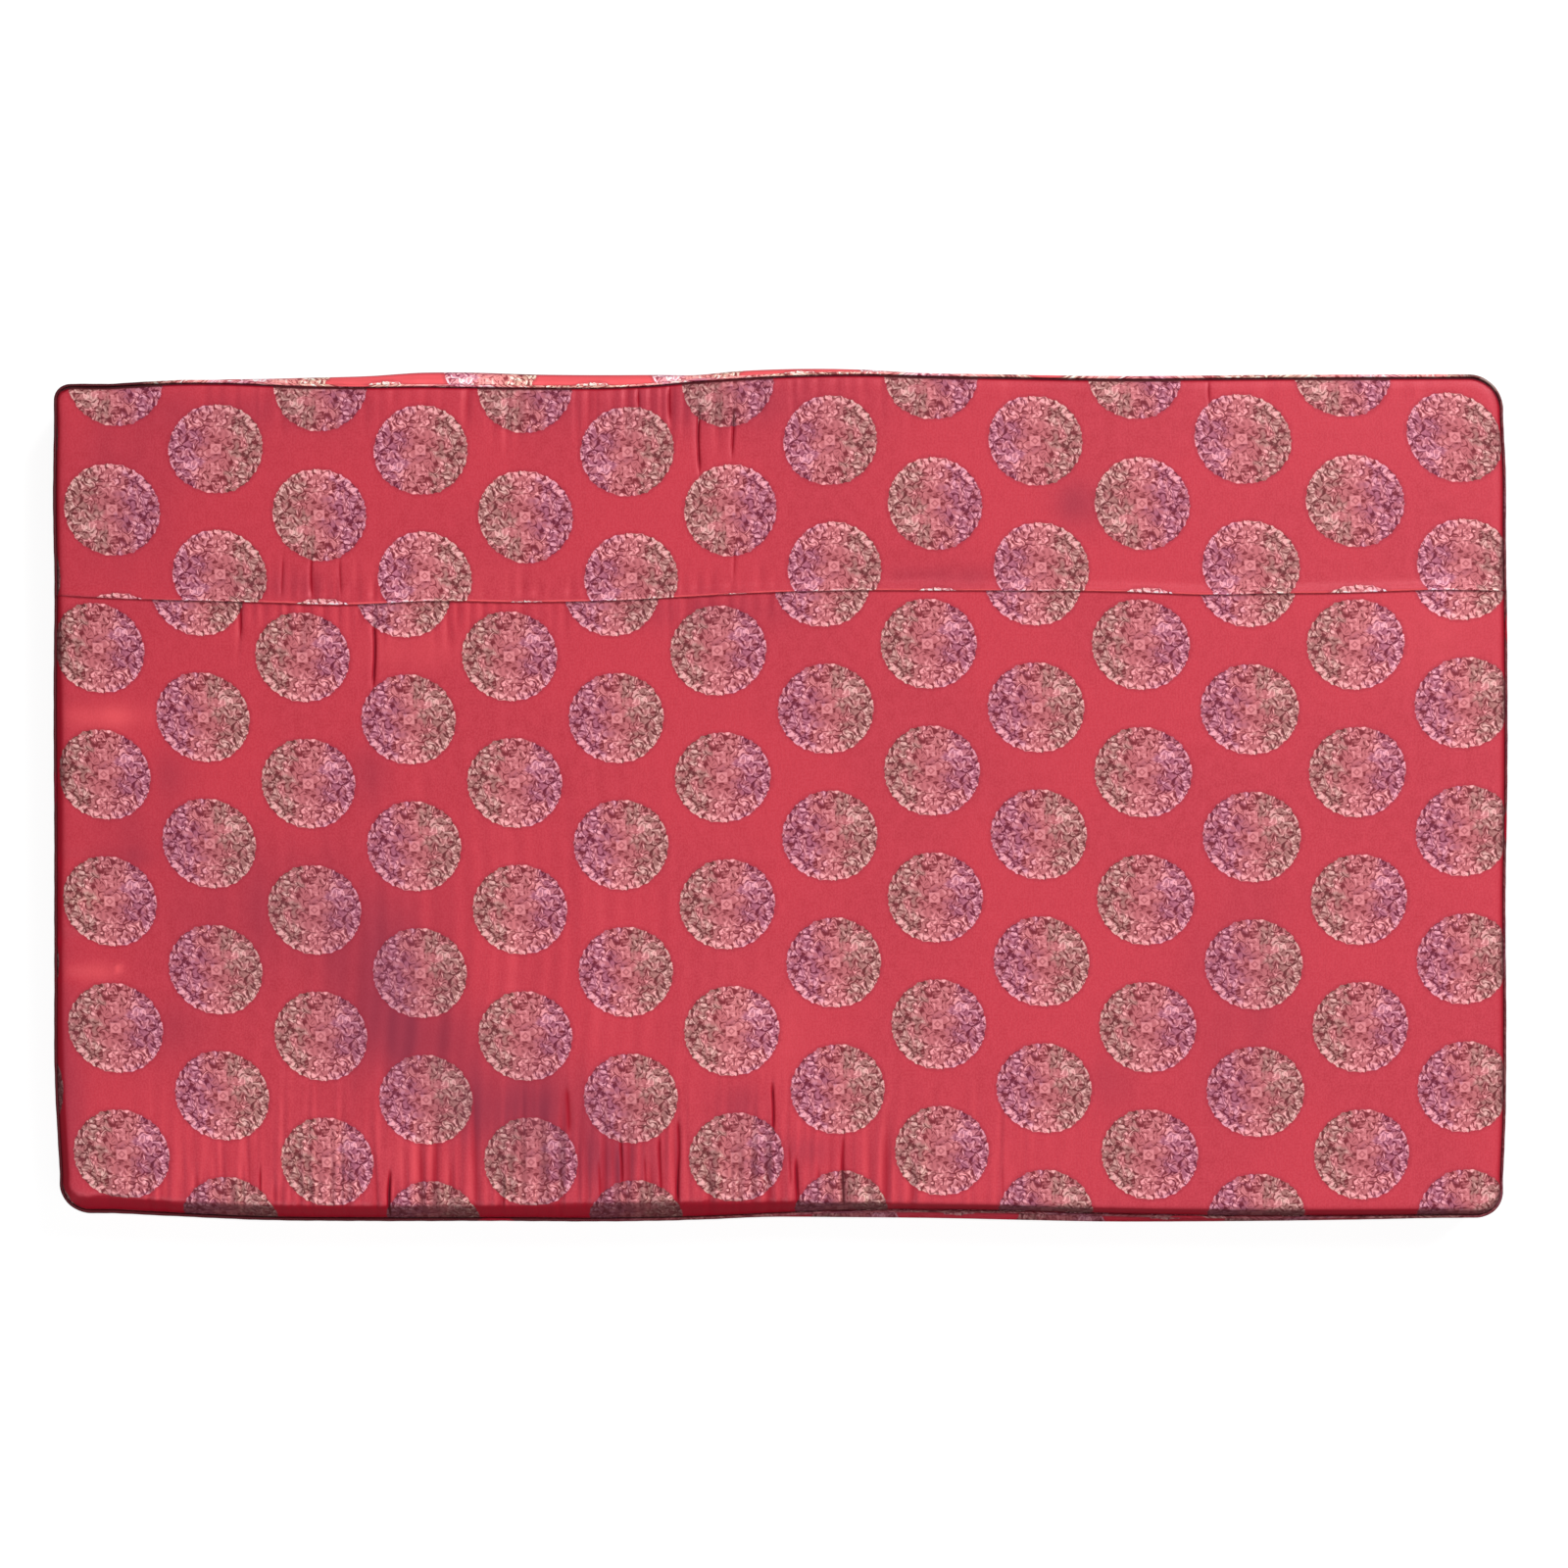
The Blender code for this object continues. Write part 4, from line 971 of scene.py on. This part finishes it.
def draw_colours(n, bent, x, tone, odd, turned, patch):
    """Colour of the drawing: stripes of grey-green, pink and purple, swapped in every other
    column, each from dark to light with the tone."""
    sign = n.scaled(odd, 2, -1)
    if turned:
        sign = n.times(sign, -1)
    stripe = n.scaled(x, sign, n.scaled(n.noise(bent, 2.4, 1), 1.3, -0.65))
    patch = n.ramp(patch, -0.13, 0.13, 0.6, 1.4)
    green = n.times(n.ramp(stripe, -0.05, -0.62), patch)
    purple = n.times(n.ramp(stripe, 0.05, 0.62), patch)
    dark, middle, light = (
        n.mix(purple, n.mix(green, shown(*pink), shown(*grey)), shown(*violet))
        for pink, grey, violet in THREADS)
    colour = n.mix(n.ramp(tone, 0.05, 0.55), dark, middle)
    return n.mix(n.ramp(tone, 0.55, 0.95), colour, light)


def draw_roundel(n, x, y, odd, turned):
    """A roundel's colour, its outline as a mask, and the distance from its middle."""
    place = n.node("CombineXYZ", {0: x, 1: y}).outputs[0]
    radius = n.vector("LENGTH", place)
    bent = n.vector("ADD", place, n.sized(n.wander(place, 2.4, 1), 0.19))
    fine = n.wander(place, 7, 0)
    bent = n.vector("ADD", bent, n.sized(fine, 0.13))
    calm = n.vector("LENGTH", n.vector("MULTIPLY", place, (1, 0.85, 1)))
    busy = n.ramp(calm, 0.2, 0.62)
    tone = n.math("ADD", draw_pebbles(n, place, bent, busy), draw_strokes(n, bent, x, busy))
    tone = n.math("ADD", tone, draw_rim(n, x, y, radius))
    tone = draw_centre(n, x, y, tone)
    colour = draw_colours(n, bent, x, tone, odd, turned, n.split(fine)[2])
    radius = n.scaled(n.noise(place, 9, 1), 0.07, n.math("ADD", radius, -0.035))
    return colour, n.ramp(radius, 0.985, 1, 1, 0), radius


def make_satin(name, turned=False):
    """Red satin with woven roundels; turned is a piece cut the other way up."""
    material = bpy.data.materials.new(name)
    material.use_nodes = True
    n = Nodes(material.node_tree)
    cloth = n.node("UVMap", uv_map="cloth").outputs[0]
    painted_light_and_stain, shade = (n.node("Attribute", attribute_name=tone).outputs["Fac"]
                   for tone in ("painted_light_and_stain", "shade"))
    # Painted dull shade with the stain, which also roughens, and painted highlight with the speck
    dull_shade_and_stain = n.math("MAXIMUM", painted_light_and_stain, 0)
    painted_highlight_and_speck = n.math("MAXIMUM", n.times(painted_light_and_stain, -1), 0)
    x, y, odd = roundel_place(n, cloth, turned)
    figure, mask, radius = draw_roundel(n, x, y, odd, turned)

    # Ground: a clear red, mottled and streaked along the warp, with the painted dull shade and
    # highlights and the stain, darker round each roundel and in the painted shade
    threads = n.vector("MULTIPLY", cloth, (160, 9, 1))
    ground = shown(187, 51, 65)
    for share, colour in (
            (n.ramp(n.noise(cloth, 9, 4, 0.7), 0.3, 0.7), (196, 58, 73)),
            (n.times(n.ramp(n.noise(cloth, 0.55, 2), 0.35, 0.65), 0.6), (206, 58, 72)),
            (n.ramp(n.noise(cloth, 62, 0), 0.25, 0.75, 0, 0.3), (212, 84, 99)),
            (n.ramp(n.noise(threads, 1, 2), 0.35, 0.75, 0, 0.35), (182, 46, 62)),
            (n.times(dull_shade_and_stain, 0.82), (130, 42, 64)),
            (n.times(painted_highlight_and_speck, 0.85), (255, 102, 108)),
            (n.ramp(radius, 0.99, 1.08, 0.34, 0), (140, 22, 44)),
            (n.ramp(shade, 0, 0.55), (158, 0, 30)),
            (n.ramp(shade, 0.45, 1), (84, 0, 22))):
        ground = n.mix(share, ground, shown(*colour))
    # The figure takes the painted dull shade and stain, the painted highlight and the painted
    # shade too
    figure = n.mix(n.times(dull_shade_and_stain, 0.35), figure, shown(120, 66, 84))
    lit = (2.1, 2.6, 2.5, 1) if turned else (2, 2.6, 2.2, 1)
    figure = n.mix(painted_highlight_and_speck, figure, lit, "MULTIPLY")
    figure = n.mix(n.times(shade, 1.5), figure, shown(74, 16, 22))

    # Satin floats run along the warp; the roundels are a coarser, duller weave that stands up,
    # here shown only as rougher; a fine weft bump covers the whole cloth
    grain = n.noise(n.vector("MULTIPLY", cloth, (190, 60, 1)), 1, 1)
    rough = n.scaled(mask, 0.14, n.scaled(grain, 0.1, 0.36))
    weft = n.noise(n.vector("MULTIPLY", cloth, (170, 210, 1)), 1, 1)
    bump = n.node("Bump", {"Strength": 0.35, "Distance": 0.0003, "Height": weft})
    n.feed(material.node_tree.nodes["Principled BSDF"], {
        "Base Color": n.mix(mask, ground, figure),
        "Roughness": n.scaled(dull_shade_and_stain, 0.1, rough),
        "Normal": bump.outputs[0],
        "Specular IOR Level": 0.55,
        "Specular Tint": (1, 0.42, 0.5, 1),
        "Sheen Weight": 0.04,
        "Sheen Roughness": 0.45,
        "Sheen Tint": (1, 0.5, 0.58, 1),
    })
    return material


# Camera straight above, as for the photo, which is 1600 pixels wide
PIXELS = 1600
PIXELS_PER_MM = 1.235
CENTRE_PIXEL = (796, 810.5)
CAMERA_HEIGHT = 3
OUTLINE_Z = 50

# The studio: half the floor's side in metres, the floor's glow and the surround's strength
WHITE = (1, 1, 1)
FLOOR_HALF = 6
FLOOR_GLOW = 0.86
SURROUND = 0.17


def add_camera():
    data = bpy.data.cameras.new("camera")
    view_width = PIXELS / PIXELS_PER_MM * MM
    data.lens = data.sensor_width * (CAMERA_HEIGHT - OUTLINE_Z * MM) / view_width
    camera = add_object("camera", data)
    right = (PIXELS / 2 - CENTRE_PIXEL[0]) / PIXELS_PER_MM * MM
    up = (CENTRE_PIXEL[1] - PIXELS / 2) / PIXELS_PER_MM * MM
    camera.location = (right, up, CAMERA_HEIGHT)
    bpy.context.scene.camera = camera


def add_light(name, place, size, power, colour):
    """A soft box at a place, turned to face the middle of the floor."""
    data = bpy.data.lights.new(name, "AREA")
    data.shape = "RECTANGLE"
    data.size, data.size_y = size
    data.energy = power
    data.color = colour
    light = add_object(name, data)
    light.location = place
    light.rotation_mode = "QUATERNION"
    light.rotation_quaternion = (-Vector(place)).to_track_quat("-Z", "Y")


def add_studio():
    """A pale floor that glows like a light table, three soft lights and a dim even surround. The
    floor throws no light onto the cushion."""
    mesh = bpy.data.meshes.new("floor")
    mesh.from_pydata([(FLOOR_HALF * x, FLOOR_HALF * y, 0) for x, y in
                      ((-1, -1), (1, -1), (1, 1), (-1, 1))], [], [(0, 1, 2, 3)])
    floor = add_object("floor", mesh)
    floor.location = (0, 0, -0.0003)
    paint = bpy.data.materials.new("floor_paint")
    paint.use_nodes = True
    Nodes(paint.node_tree).feed(paint.node_tree.nodes["Principled BSDF"], {
        "Base Color": (0.25, 0.25, 0.25, 1),
        "Roughness": 0.9,
        "Emission Color": (*WHITE, 1),
        "Emission Strength": FLOOR_GLOW,
    })
    mesh.materials.append(paint)
    floor.visible_diffuse = False
    floor.visible_glossy = False
    add_light("key", (4.3, 4.6, 5.6), (3.8, 2.9), 668, (1, 0.99, 0.97))
    add_light("overhead", (1.4, -1.6, 6.2), (4.4, 3.2), 56, WHITE)
    add_light("fill", (-1.6, -3.2, 3), (2.4, 1.4), 66, WHITE)
    world = bpy.data.worlds.new("surround")
    world.use_nodes = True
    Nodes(world.node_tree).feed(world.node_tree.nodes["Background"],
                                {"Color": (*WHITE, 1), "Strength": SURROUND})
    bpy.context.scene.world = world
    bpy.context.scene.view_settings.view_transform = "Standard"


add_camera()
add_studio()
front_satin = make_satin("front_satin")
back_satin = make_satin("back_satin", turned=True)
make_pad(front_satin)
make_back_panel(back_satin)
make_boxing(front_satin)
make_welt(front_satin)
